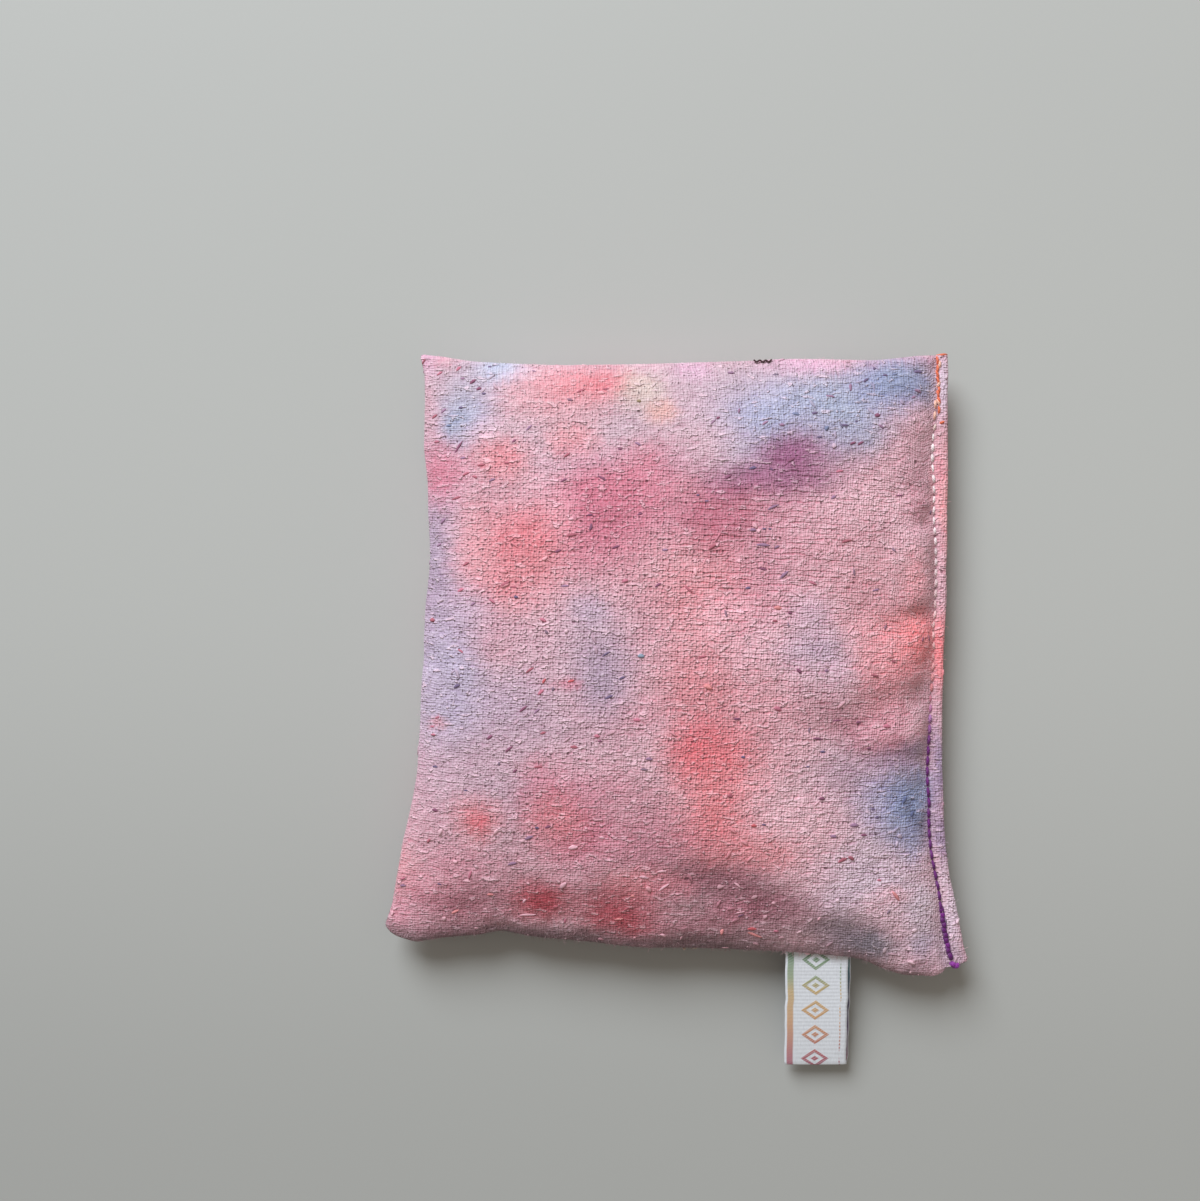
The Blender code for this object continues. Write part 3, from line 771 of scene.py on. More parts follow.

# Spots of dye on the front, with painted light and painted shade among them, each laid over those before it:
# pixel x and y, pixel radii, strength, dye
frontSpots = [
    (560, 410, 150, 70, 0.45, "shell"), (610, 412, 240, 64, 0.55, "ash"), (500, 740, 140, 130, 0.75, "mauve"),
    (430, 600, 56, 200, 0.75, "lavender"), (434, 560, 34, 80, 0.85, "dusk"), (450, 680, 50, 80, 0.60, "mist"),
    (740, 376, 110, 34, 0.50, "ash"), (690, 420, 70, 60, 0.20, "shell"), (800, 412, 118, 56, 0.80, "mist"),
    (870, 395, 90, 44, 0.40, "sky"), (770, 420, 60, 40, 0.30, "sky"), (850, 430, 50, 34, 0.55, "blue"),
    (835, 395, 60, 34, 0.50, "blue"), (900, 380, 60, 36, 0.75, "azure"), (922, 388, 30, 26, 0.40, "slate"),
    (694, 368, 26, 18, 0.60, "pink"), (808, 364, 58, 16, 0.70, "pink"), (468, 408, 40, 48, 0.85, "mist"),
    (456, 425, 26, 34, 0.60, "blue"), (498, 370, 38, 20, 0.90, "sky"), (432, 364, 34, 28, 0.60, "pink"),
    (446, 368, 18, 14, 0.50, "peach"), (560, 396, 90, 40, 0.60, "peach"), (585, 382, 62, 26, 0.80, "coral"),
    (600, 382, 28, 16, 0.30, "vermilion"), (640, 392, 34, 28, 0.45, "gold"),
    (660, 414, 22, 18, 0.70, "orange"), (574, 440, 34, 24, 0.55, "peach"), (503, 458, 40, 28, 0.80, "coral"),
    (440, 476, 36, 46, 0.80, "rose"), (620, 500, 100, 66, 0.75, "rose"), (590, 500, 46, 44, 0.80, "rose"),
    (606, 520, 60, 40, 0.50, "madder"), (644, 468, 50, 34, 0.50, "rose"), (722, 508, 56, 56, 0.70, "madder"),
    (704, 530, 50, 44, 0.60, "madder"), (730, 478, 40, 24, 0.60, "berry"), (775, 500, 70, 34, 0.45, "madder"),
    (745, 452, 36, 24, 0.45, "mist"), (793, 452, 50, 34, 0.95, "berry"), (800, 478, 60, 26, 0.70, "berry"),
    (846, 456, 40, 24, 0.50, "violet"), (755, 472, 40, 22, 0.55, "berry"), (770, 545, 90, 50, 0.25, "rose"),
    # painted light from here on: the spots in the bright pink (240, 190, 202) and the bright coral (240, 140,
    # 146) lift slopes and hollows that come out darker than in the real bag, mostly beside the closing seam
    # and at the lower right
    (874, 498, 60, 34, 0.60, "paintedLightPink"), (912, 560, 40, 90, 0.30, "paintedLightPink"), (765, 658, 140, 90, 0.40, "paintedLightPink"),
    (872, 650, 64, 60, 0.50, "paintedLightPink"), (522, 550, 74, 66, 0.85, "coral"), (515, 590, 50, 34, 0.60, "coral"),
    (530, 530, 50, 36, 0.40, "vermilion"), (600, 545, 60, 40, 0.45, "rose"),
    (560, 610, 44, 40, 0.45, "shell"), (470, 545, 34, 60, 0.45, "peach"),
    (470, 615, 40, 40, 0.45, "lavender"), (592, 640, 48, 60, 0.75, "mauve"), (606, 680, 38, 50, 0.80, "dusk"),
    (588, 612, 26, 22, 0.45, "lavender"), (500, 700, 60, 40, 0.40, "lavender"),
    (570, 684, 18, 9, 0.60, "rose"), (498, 640, 40, 30, 0.30, "peach"), (530, 760, 60, 40, 0.20, "mauve"),
    (810, 612, 34, 30, 0.65, "lavender"), (815, 656, 50, 36, 0.75, "lavender"),
    (835, 690, 50, 34, 0.40, "mauve"), (700, 580, 70, 60, 0.60, "peach"), (712, 606, 50, 50, 0.55, "coral"),
    (690, 660, 50, 90, 0.50, "peach"), (698, 690, 48, 50, 0.60, "coral"), (730, 730, 60, 100, 0.40, "coral"),
    (702, 752, 50, 44, 0.90, "vermilion"), (735, 770, 44, 50, 0.45, "vermilion"),
    (724, 824, 50, 40, 0.75, "vermilion"), (720, 800, 70, 90, 0.50, "paintedLightCoral"),
    (780, 740, 70, 60, 0.20, "coral"), (790, 690, 60, 50, 0.15, "peach"), (760, 600, 60, 50, 0.35, "rose"),
    (860, 560, 80, 60, 0.25, "coral"), (880, 600, 60, 44, 0.30, "coral"), (844, 716, 52, 34, 0.60, "wine"),
    (885, 690, 50, 40, 0.55, "coral"), (905, 645, 70, 46, 0.70, "paintedLightCoral"), (914, 636, 40, 32, 0.60, "paintedLightCoral"),
    (885, 735, 60, 26, 0.60, "rose"), (900, 758, 44, 18, 0.60, "violet"), (920, 746, 18, 16, 0.40, "slate"),
    (850, 790, 60, 60, 0.50, "lavender"), (908, 808, 38, 52, 0.85, "azure"),
    (917, 800, 32, 56, 0.30, "slate"), (912, 832, 40, 30, 0.40, "slate"), (910, 806, 34, 44, 0.60, "azure"),
    (872, 846, 56, 48, 0.75, "pale"), (438, 724, 12, 10, 0.50, "coral"), (476, 818, 34, 34, 0.80, "coral"),
    (478, 822, 16, 16, 0.60, "vermilion"), (560, 806, 60, 60, 0.65, "rose"), (540, 770, 26, 22, 0.45, "rose"),
    (586, 836, 60, 40, 0.70, "rose"), (556, 822, 44, 44, 0.70, "coral"), (612, 786, 44, 26, 0.40, "rose"),
    (650, 830, 60, 50, 0.30, "rose"), (670, 850, 70, 34, 0.25, "madder"), (800, 815, 60, 50, 0.50, "shell"),
    (800, 835, 90, 64, 0.65, "paintedLightPink"), (770, 850, 40, 30, 0.50, "coral"), (858, 888, 66, 56, 0.90, "pale"),
    # painted shade: from here on, the wine and plum bands near the foot are dye darkened further for the
    # lower slope, which turns from the lamp, and the dark brown and dark grey spots along the foot's edge are
    # painted shade alone
    (900, 890, 50, 50, 0.70, "pale"), (896, 894, 26, 12, 0.40, "coral"), (500, 890, 120, 50, 0.30, "wine"),
    (655, 875, 80, 40, 0.15, "wine"), (710, 880, 80, 34, 0.65, "plum"), (765, 900, 56, 36, 0.75, "plum"),
    (700, 925, 80, 30, 0.60, "wine"), (540, 904, 44, 30, 0.95, "red"), (616, 912, 62, 40, 0.80, "red"),
    (620, 925, 40, 22, 0.60, "red"), (460, 905, 60, 40, 0.75, "wine"), (402, 868, 30, 40, 0.50, "peach"),
    (398, 915, 30, 26, 0.50, "rose"), (430, 885, 40, 30, 0.45, "rose"), (460, 860, 50, 26, 0.30, "rose"),
    (440, 935, 60, 16, 0.60, "plum"), (550, 938, 120, 16, 0.80, "shadeUmber"), (700, 942, 90, 18, 0.80, "shadeUmber"),
    (800, 936, 80, 24, 0.50, "shadeUmber"), (850, 930, 56, 30, 0.60, "shadeGrey"), (870, 946, 40, 20, 0.70, "shadeGrey"),
    (930, 945, 44, 34, 0.60, "mauve"), (462, 385, 56, 40, 0.35, "ash"), (942, 385, 14, 46, 0.95, "pale"),
    (945, 500, 14, 80, 0.80, "blush"), (944, 600, 14, 50, 0.30, "paintedLightPink"), (943, 655, 14, 50, 0.85, "paintedLightCoral"),
    (942, 560, 14, 26, 0.25, "paintedLightPink"), (939, 770, 14, 60, 0.90, "lilac"), (945, 836, 16, 40, 0.85, "lilac"),
    (952, 910, 18, 70, 0.90, "pale"), (956, 958, 16, 22, 0.85, "mauve"), (480, 430, 30, 22, 0.35, "paintedLightPink"),
    (572, 440, 40, 26, 0.30, "paintedLightCoral"), (722, 462, 36, 26, 0.35, "cream"), (868, 462, 60, 26, 0.30, "paintedLightPink"),
    (815, 530, 60, 40, 0.30, "paintedLightPink"), (722, 612, 40, 34, 0.45, "paintedLightPink"), (805, 600, 60, 56, 0.35, "paintedLightPink"),
    (918, 640, 30, 40, 0.40, "paintedLightCoral"), (885, 730, 40, 16, 0.40, "paintedLightPink"), (560, 762, 90, 30, 0.30, "paintedLightPink"),
    (770, 795, 56, 50, 0.35, "paintedLightPink"), (640, 882, 50, 24, 0.35, "paintedLightCoral"), (745, 856, 70, 26, 0.30, "paintedLightCoral"),
    (810, 880, 60, 24, 0.30, "paintedLightPink"), (882, 912, 44, 26, 0.45, "paintedLightPink"), (785, 912, 56, 22, 0.50, "plum"),
    (700, 885, 40, 28, 0.35, "plum"), (858, 944, 60, 18, 0.45, "shadeGrey"), (880, 385, 40, 36, 0.30, "azure"),
    (820, 428, 60, 24, 0.30, "dusk"), (918, 505, 22, 40, 0.25, "rose"), (918, 582, 22, 40, 0.35, "paintedLightCoral"),
    (770, 415, 54, 30, 0.25, "azure"), (455, 385, 40, 34, 0.25, "ash"), (905, 378, 44, 24, 0.20, "frost"),
    (922, 425, 16, 36, 0.28, "paintedLightPink"), (575, 455, 60, 28, 0.22, "dusk"), (563, 515, 28, 36, 0.25, "paintedLightPink"),
    (815, 670, 44, 24, 0.35, "paintedLightPink"), (888, 646, 34, 28, 0.28, "paintedLightPink"), (922, 640, 16, 28, 0.55, "paintedLightCoral"),
    (842, 702, 36, 18, 0.33, "paintedLightPink"), (918, 728, 18, 18, 0.50, "paintedLightPink"), (888, 802, 42, 50, 0.30, "haze"),
    (918, 848, 24, 24, 0.35, "haze"), (722, 912, 26, 18, 0.32, "plum"), (562, 866, 34, 32, 0.22, "rose"),
    (680, 886, 26, 18, 0.28, "coral"), (724, 832, 34, 28, 0.22, "coral"), (800, 941, 30, 12, 0.30, "paintedLightPink"),
    (885, 902, 26, 18, 0.28, "paintedLightPink"), (924, 942, 20, 16, 0.25, "slate"), (445, 688, 30, 34, 0.25, "mauve"),
    (508, 640, 44, 24, 0.20, "dusk"), (640, 716, 36, 26, 0.20, "rose"), (440, 882, 24, 20, 0.25, "paintedLightPink"),
    (941, 474, 8, 24, 0.35, "rose"), (942, 872, 9, 20, 0.55, "pale"), (922, 915, 22, 46, 0.25, "frost"),
    (900, 905, 40, 30, 0.20, "pale"), (905, 385, 36, 20, 0.22, "slate"), (905, 800, 15, 8, 0.50, "slate"),
    (914, 817, 14, 8, 0.45, "slate"), (900, 836, 22, 10, 0.30, "slate"), (922, 786, 16, 26, 0.45, "haze"),
    (882, 800, 30, 36, 0.18, "haze"), (684, 462, 30, 24, 0.20, "dusk"), (636, 398, 26, 24, 0.20, "dusk"),
    (662, 884, 34, 20, 0.25, "rose"), (640, 580, 60, 56, 0.18, "coral"), (735, 912, 40, 18, 0.20, "rose"),
    (580, 858, 50, 26, 0.16, "rose"), (436, 670, 30, 50, 0.16, "mauve"),
]
# The same for the side that the photograph does not show, made up in the same manner
backSpots = [
    (520, 430, 120, 90, 0.75, "lavender"), (470, 400, 60, 40, 0.8, "mist"), (640, 400, 90, 50, 0.8, "coral"),
    (760, 420, 80, 60, 0.7, "shell"), (850, 390, 70, 44, 0.85, "berry"), (900, 460, 60, 70, 0.7, "blue"),
    (560, 540, 90, 60, 0.8, "rose"), (470, 600, 60, 80, 0.7, "peach"), (700, 560, 80, 70, 0.6, "mauve"),
    (760, 600, 50, 40, 0.85, "vermilion"), (840, 580, 70, 60, 0.7, "shell"), (640, 660, 60, 60, 0.75, "mist"),
    (620, 680, 30, 30, 0.8, "slate"), (520, 740, 80, 60, 0.7, "pink"), (720, 730, 90, 60, 0.75, "madder"),
    (860, 720, 70, 70, 0.75, "lavender"), (440, 800, 50, 60, 0.8, "coral"), (580, 830, 80, 50, 0.8, "blue"),
    (700, 850, 60, 40, 0.85, "red"), (800, 860, 80, 60, 0.6, "gold"), (900, 850, 60, 60, 0.8, "rose"),
    (500, 900, 60, 40, 0.7, "wine"), (640, 920, 60, 30, 0.6, "lavender"), (850, 930, 60, 40, 0.7, "mist"),
    (944, 600, 14, 160, 0.5, "coral"),
]


def clothHeight(pixelX, pixelY):
    # roughly how high the front stands at a pixel, to place the dye under it
    u, v = min(max((pixelX - 424) / 511, 0.002), 0.998), min(max((945 - pixelY) / 587, 0.002), 0.998)
    return bag["crown"] * (16 * u * (1 - u) * v * (1 - v)) ** bag["crownPower"]


def makeDyedGroup(name, spots, spotGroup):
    tree, enter, leave = newGroup(name, "ShaderNodeTree", {"Place": "Vector"}, {"Colour": "Color"})
    flat = vectorCalc(tree, "MULTIPLY", enter.outputs["Place"], (1, 1, 0))
    place = flat
    for size, reach in (dye["wander"], dye["feather"]):
        shift = vectorCalc(tree, "SUBTRACT", noise(tree, flat, 1 / size, 2.0, True), (0.5, 0.5, 0.5))
        place = vectorCalc(tree, "ADD", place, vectorCalc(tree, "MULTIPLY", shift, (reach, reach, 0)))
    size, reach = dye["bleed"]
    x, y = split(tree, flat)[:2]
    yarns = [noise(tree, stretched(tree, x, y, *scales), 1.0)
             for scales in ((dye["slant"] / size, 1 / size), (1 / size, dye["slant"] / size))]
    bleed = [times(tree, centred(tree, yarn), reach) for yarn in yarns]
    place = vectorCalc(tree, "ADD", place, join(tree, *bleed))
    tone = ramp(tree, noise(tree, flat, 1 / dye["ground"], 3.0), 0.35, 0.7)
    colour = blendColour(tree, tone, srgb(*palette["base"]), srgb(*palette["shell"]))
    scale = photo["metresPerPixel"]
    for pixelX, pixelY, radiusX, radiusY, strength, key in spots:
        centre = fromPhoto(pixelX, pixelY, clothHeight(pixelX, pixelY))
        colour = useGroup(
            tree, spotGroup, Under=colour, Place=place, Centre=(*centre, 0.0), Strength=strength,
            Radii=(radiusX * scale, radiusY * scale, 1.0), Dye=srgb(*palette[key]),
        )["Colour"]
    size, darkest, lightest = dye["mottle"]
    mottle = ramp(tree, noise(tree, flat, 1 / size, 3.0), 0.3, 0.7, darkest, lightest, False)
    lifted = scaled(tree, dye["lift"], mottle)
    plug(tree, vectorCalc(tree, "MULTIPLY", colour, lifted), leave.inputs["Colour"])
    return tree


dyeSpot = makeDyeSpot()
frontDyeAndShading = makeDyedGroup("frontDyeAndShading", frontSpots, dyeSpot)
dyedBack = makeDyedGroup("dyedBack", backSpots, dyeSpot)
print("dye mixed")


# Weave: a coarse plain weave of uneven, crinkled yarns, with pinholes, slubs and dark ribs between yarns; the
# colour it gives is painted shade in the low parts, rib lines and pinholes and painted highlight on the
# raised yarns, with random tone along the yarns

weave = {
    "pitch": (0.65 * mm, 0.585 * mm),  # across the warp and across the weft
    "wander": 2.3,  # in yarns
    "bump": 0.26 * mm,
    "knuckle": 0.40,  # these are shares of the bump
    "round": 0.34,
    "rib": 0.22,
    "swell": 0.30,
    "crinkle": 0.10,
    "crepe": 1.50,
    "fluff": 1.15,
    "slub": 1.30,
    # painted shade: the dark colour of the pinholes and the needle holes
    "hole": srgb(84, 44, 58),
    "slubTint": (0.97, 0.84, 0.89),
    # painted shade: the dark colour laid along the foot's edge
    "footEdgeShade": srgb(112, 92, 98),
    # painted highlight: the whitish colour laid on the raised yarn tops
    "pale": srgb(250, 244, 246),
}


def makeWeave():
    inputs = {"Cloth": "Vector", "Open": "Float", "Ribbed": "Float"}
    outputs = {"Height": "Float", "PinholeShade": "Float", "ShadeAndTone": "Float", "Slub": "Float"}
    tree, enter, leave = newGroup("weave", "ShaderNodeTree", inputs, outputs)
    isOpen, ribbed = enter.outputs["Open"], enter.outputs["Ribbed"]
    u, v = split(tree, vectorCalc(tree, "DIVIDE", enter.outputs["Cloth"], (*weave["pitch"], 1.0)))[:2]

    def grain(scaleU, scaleV, z, detail=2.0, ways=(u, v)):
        return noise(tree, stretched(tree, *ways, scaleU, scaleV, z), 1.0, detail)

    # yarns wander sideways along their length
    warpDrift = centred(tree, grain(0.40, 0.16, 7.0, 1.0))
    weftDrift = centred(tree, grain(0.16, 0.40, 0.0, 1.0))
    warpTurn = times(tree, timesPlus(tree, warpDrift, weave["wander"], u), math.pi)
    weftTurn = times(tree, timesPlus(tree, weftDrift, weave["wander"], v), math.pi)
    warpWave, weftWave = calc(tree, "SINE", warpTurn), calc(tree, "SINE", weftTurn)
    # where two yarns lie close together, the gap on their other side is wider
    warpGap, weftGap = [larger(tree, calc(tree, "COSINE", turn), 0.0) for turn in (warpTurn, weftTurn)]
    strength = ramp(tree, grain(0.28, 0.28, 5.0), 0.38, 0.62, 0.15, 1.0)
    knuckle = times(tree, warpWave, weftWave, strength, timesPlus(tree, isOpen, 0.5, 0.45))
    rounded = timesPlus(tree, times(tree, weftWave, weftWave), 0.7, times(tree, warpWave, warpWave))
    broken = ramp(tree, grain(0.10, 0.55, 23.0), 0.38, 0.56)
    swell = times(tree, weftGap, broken, timesPlus(tree, ribbed, -1.1, -0.02))
    crossing = timesPlus(tree, times(tree, warpGap, warpGap), 0.75, 0.40)
    ribLine = times(tree, calc(tree, "POWER", weftGap, 4.0), ribbed, broken, crossing)
    # crinkles are short worm-like ridges, and crepe lies slantwise
    bent = centred(tree, grain(0.5, 0.5, 77.0, 1.0))
    bentPlace = join(tree, timesPlus(tree, u, 0.30, bent), times(tree, v, 0.38), 3.0)
    worm = centred(tree, noise(tree, bentPlace, 1.0, 2.0))
    crinkle = ramp(tree, calc(tree, "ABSOLUTE", worm), 0.0, 0.11, 1.0, 0.0)
    calm = timesPlus(tree, isOpen, -0.30, 1.10)
    slant = timesPlus(tree, v, 0.60, u), timesPlus(tree, u, -0.60, v)
    crepe = times(tree, centred(tree, grain(0.24, 0.52, 9.0, 3.0, slant)), calm)
    fluff = times(tree, centred(tree, noise(tree, join(tree, u, v, 5.0), 0.95, 3.0)), calm)
    longSlub, shortSlub = grain(0.17, 0.42, 31.0), grain(0.38, 0.34, 57.0)
    slub = larger(tree, ramp(tree, longSlub, 0.60, 0.70), ramp(tree, shortSlub, 0.61, 0.71))
    height = times(tree, knuckle, weave["knuckle"])
    for key, value in (("round", rounded), ("swell", swell), ("crinkle", crinkle), ("crepe", crepe),
                       ("fluff", fluff), ("slub", slub)):
        height = timesPlus(tree, value, weave[key], height)
    height = timesPlus(tree, ribLine, -weave["rib"], height)
    # a pinhole at some of the wide crossings, drawn by the crossing's number
    number = [calc(tree, "FLOOR", timesPlus(tree, turn, 0.5 / math.pi, 0.5)) for turn in (warpTurn, weftTurn)]
    chance = addNode(tree, "ShaderNodeTexWhiteNoise", {"Vector": join(tree, *number)}).outputs["Value"]
    there = ramp(tree, calc(tree, "SUBTRACT", isOpen, chance), -0.08, 0.22)
    noSlub = ramp(tree, times(tree, warpGap, weftGap), 0.36, 0.78), there, calc(tree, "SUBTRACT", 1.0, slub)
    # painted shade: the pinhole mask darkens the colour where one looks through the cloth into the bag's
    # shaded inside
    hole = times(tree, *noSlub)
    # painted shade and highlight: the colour darkens where the weave lies low and in the rib lines, and
    # lightens on the raised yarns; the last line adds random tone along the yarns
    tone = ramp(tree, height, -0.70, 1.30, 0.74, 1.17, False)
    tone = timesPlus(tree, ribLine, -0.09, tone)
    tone = timesPlus(tree, centred(tree, grain(0.10, 0.9, 41.0)), 0.20, tone)
    height = timesPlus(tree, hole, -0.30, height)
    for key, value in (("Height", height), ("PinholeShade", hole), ("ShadeAndTone", tone), ("Slub", slub)):
        plug(tree, value, leave.inputs[key])
    return tree


weaveGroup = makeWeave()

# Where the weave lies open and where it stands in ribs: pixel x, pixel y, pixel radius, strength
weavePlaces = {
    "open": [(580, 600, 200, 0.95), (720, 720, 170, 0.75), (560, 490, 140, 0.80), (540, 800, 120, 0.55),
             (790, 420, 120, 0.30), (850, 850, 110, 0.50),
             (952, 900, 100, 0.85), (944, 600, 60, 0.70)],
    "ribbed": [(760, 550, 150, 1.00), (870, 840, 120, 1.00), (890, 500, 90, 0.70), (830, 660, 150, 0.80)],
}


def around(tree, place, key, start):
    flat = vectorCalc(tree, "MULTIPLY", place, (1, 1, 0))
    total = start
    for pixelX, pixelY, radius, strength in weavePlaces[key]:
        away = vectorCalc(tree, "SUBTRACT", flat, (*fromPhoto(pixelX, pixelY, 12 * mm), 0.0))
        reach = calc(tree, "DIVIDE", vectorCalc(tree, "LENGTH", away), radius * photo["metresPerPixel"])
        total = larger(tree, total, ramp(tree, reach, 0.3, 1.1, strength, 0.0))
    return total


def clothMaterial(name, dyed):
    looks = {"Roughness": 0.95, "Specular IOR Level": 0.4, "Sheen Weight": 0.15, "Sheen Roughness": 0.6}
    made, tree, surface = newMaterial(name, looks)
    place = objectPlace(tree)
    patches = ramp(tree, noise(tree, place, 1 / (11 * mm), 2.0), 0.35, 0.65, 0.0, 0.45)
    isOpen = around(tree, place, "open", patches)
    ribbed = around(tree, place, "ribbed", timesPlus(tree, patches, -0.8, 0.50))
    woven = useGroup(tree, weaveGroup, Cloth=uvPlace(tree, "clothLength"), Open=isOpen, Ribbed=ribbed)
    colour = useGroup(tree, dyed, Place=place)["Colour"]
    # painted shade: the weave's low parts get a deeper, more saturated colour; painted highlight: its raised
    # yarn tops go whitish; the result is then scaled by the weave's painted shade, highlight and random tone
    deep = scaled(tree, vectorCalc(tree, "MULTIPLY", colour, colour), 1.45)
    colour = blendColour(tree, ramp(tree, woven["ShadeAndTone"], 0.72, 1.02, 0.65, 0.0), colour, deep)
    colour = blendColour(tree, ramp(tree, woven["ShadeAndTone"], 0.98, 1.30, 0.0, 0.42), colour, weave["pale"])
    toned = scaled(tree, colour, woven["ShadeAndTone"])
    deeper = vectorCalc(tree, "MULTIPLY", toned, weave["slubTint"])
    toned = blendColour(tree, woven["Slub"], toned, deeper)
    # painted shade along the foot's edge, broken up by noise
    shadeBreakup = ramp(tree, noise(tree, place, 1 / (1.6 * mm), 2.0), 0.30, 0.70, 0.45, 0.85, False)
    toned = blendColour(tree, times(tree, attribute(tree, "footEdgeShade"), shadeBreakup), toned, weave["footEdgeShade"])
    hole = blendColour(tree, 0.68, toned, weave["hole"])
    colour = blendColour(tree, woven["PinholeShade"], toned, hole)
    # painted shade in the needle holes
    needle = times(tree, attribute(tree, "needleShade"), 0.70)
    plug(tree, blendColour(tree, needle, colour, weave["hole"]), surface.inputs["Base Color"])
    addBump(tree, surface, woven["Height"], 1.0, weave["bump"])
    return made


for name, node, surface in (
    ("frontCloth", "front_panel", clothMaterial("clothFront", frontDyeAndShading)),
    ("backCloth", "back_panel", clothMaterial("clothBack", dyedBack)),
):
    shaped = panels[name]
    mesh = shellMesh(name, shaped["grid"], shaped["side"], shaped["factor"], shaped["shades"])
    piece = addObject(name, mesh, surface, "bag")
    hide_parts(node)
print("panels made")


# Repeats: shapes put on points or scattered over the cloth by geometry nodes, then made plain meshes

def geometryGroup(name, inputs):
    inputs = {"Geometry": "Geometry", **inputs, "Surface": "Material"}
    return newGroup(name, "GeometryNodeTree", inputs, {"Geometry": "Geometry"})


def namedAttribute(tree, name, kind):
    made = addNode(tree, "GeometryNodeInputNamedAttribute", {"Name": name}, data_type=kind)
    return next(socket for socket in made.outputs if socket.enabled and socket.name == "Attribute")


def randomVector(tree, low, high, seed=None):
    inputs = {"Min": low, "Max": high, "Seed": seed}
    return addNode(tree, "FunctionNodeRandomValue", inputs, data_type="FLOAT_VECTOR").outputs[0]


def asRotation(tree, euler):
    return addNode(tree, "FunctionNodeEulerToRotation", {0: euler}).outputs[0]


def tubeAlong(tree, start, middle, end, radius, steps, sides):
    ends = {"Resolution": steps, "Start": start, "Middle": middle, "End": end}
    arc = addNode(tree, "GeometryNodeCurveQuadraticBezier", ends).outputs["Curve"]
    ring = {"Resolution": sides, "Radius": radius}
    ring = addNode(tree, "GeometryNodeCurvePrimitiveCircle", ring).outputs["Curve"]
    tube = {"Curve": arc, "Profile Curve": ring, "Fill Caps": True}
    return addNode(tree, "GeometryNodeCurveToMesh", tube).outputs[0]


def placeOnPoints(tree, points, shape, rotation, scale, surface, leave):
    inputs = {"Points": points, "Instance": shape, "Rotation": rotation, "Scale": scale}
    placed = addNode(tree, "GeometryNodeInstanceOnPoints", inputs)
    real = addNode(tree, "GeometryNodeRealizeInstances", {0: placed.outputs[0]})
    smooth = addNode(tree, "GeometryNodeSetShadeSmooth", {0: real.outputs[0]})
    dressed = addNode(tree, "GeometryNodeSetMaterial", {0: smooth.outputs[0], "Material": surface})
    plug(tree, dressed.outputs[0], leave.inputs["Geometry"])


def meshPoints(tree, enter):
    return addNode(tree, "GeometryNodeMeshToPoints", {"Mesh": enter.outputs["Geometry"]}).outputs[0]


def placeAsTold(tree, enter, leave, shape):
    # turned and sized as each point says
    turn = asRotation(tree, namedAttribute(tree, "turn", "FLOAT_VECTOR"))
    size = namedAttribute(tree, "size", "FLOAT_VECTOR")
    placeOnPoints(tree, meshPoints(tree, enter), shape, turn, size, enter.outputs["Surface"], leave)


def settle(piece, group, values):
    # runs the nodes once and keeps their result as the piece's own mesh
    modifier = piece.modifiers.new(group.name, "NODES")
    modifier.node_group = group
    for item in group.interface.items_tree:
        if item.in_out == "INPUT" and item.name in values:
            modifier[item.identifier] = values[item.name]
    piece.update_tag()
    depsgraph = bpy.context.evaluated_depsgraph_get()
    made = bpy.data.meshes.new_from_object(
        piece.evaluated_get(depsgraph), preserve_all_data_layers=True, depsgraph=depsgraph)
    piece.modifiers.clear()
    old = piece.data
    piece.data = made
    bpy.data.meshes.remove(old)
    made.name = piece.name
    return piece


def toldPoints(name, centres, turns, sizes, tints):
    # bare points that say how what is put on them is turned, sized and tinted
    mesh = bpy.data.meshes.new(name)
    mesh.from_pydata([tuple(centre) for centre in centres], [], [])
    layAttribute(mesh, "turn", "FLOAT_VECTOR", turns)
    layAttribute(mesh, "size", "FLOAT_VECTOR", sizes)
    layAttribute(mesh, "tint", "FLOAT_COLOR", tints)
    return addObject(name, mesh, None, "bag")


def makeStitchGroup():
    # one stitch: a tube that leaves the cloth, bows over it and goes back in
    inputs = {key: "Float" for key in ("Length", "Rise", "Sink", "Radius")}
    tree, enter, leave = geometryGroup("stitches", inputs)
    given = enter.outputs
    half, low = times(tree, given["Length"], 0.5), times(tree, given["Sink"], -1.0)
    top = join(tree, 0.0, 0.0, timesPlus(tree, given["Rise"], 2.0, given["Sink"]))
    start, end = join(tree, times(tree, half, -1.0), 0.0, low), join(tree, half, 0.0, low)
    placeAsTold(tree, enter, leave, tubeAlong(tree, start, top, end, given["Radius"], 9, 8))
    return tree


stitchGroup = makeStitchGroup()


def stitchPiece(name, stitches, surface, length, rise, sink, radius):
    # each stitch is its two ends, which way is up (1 or -1), its tint and how stout it is
    centres, turns, sizes, tints = [], [], [], []
    for start, end, up, tint, girth in stitches:
        start, end = Vector(start), Vector(end)
        way = (end - start).normalized()
        side = Vector((0, 0, up)).cross(way).normalized()
        turns.append(Matrix((way, side, way.cross(side))).transposed().to_euler())
        centres.append((start + end) / 2)
        share = (end - start).length / length
        sizes.append((share, girth, share * (0.5 + 0.5 * girth)))
        tints.append(tint)
    values = {"Length": length, "Rise": rise, "Sink": sink, "Radius": radius, "Surface": surface}
    return settle(toldPoints(name, centres, turns, sizes, tints), stitchGroup, values)


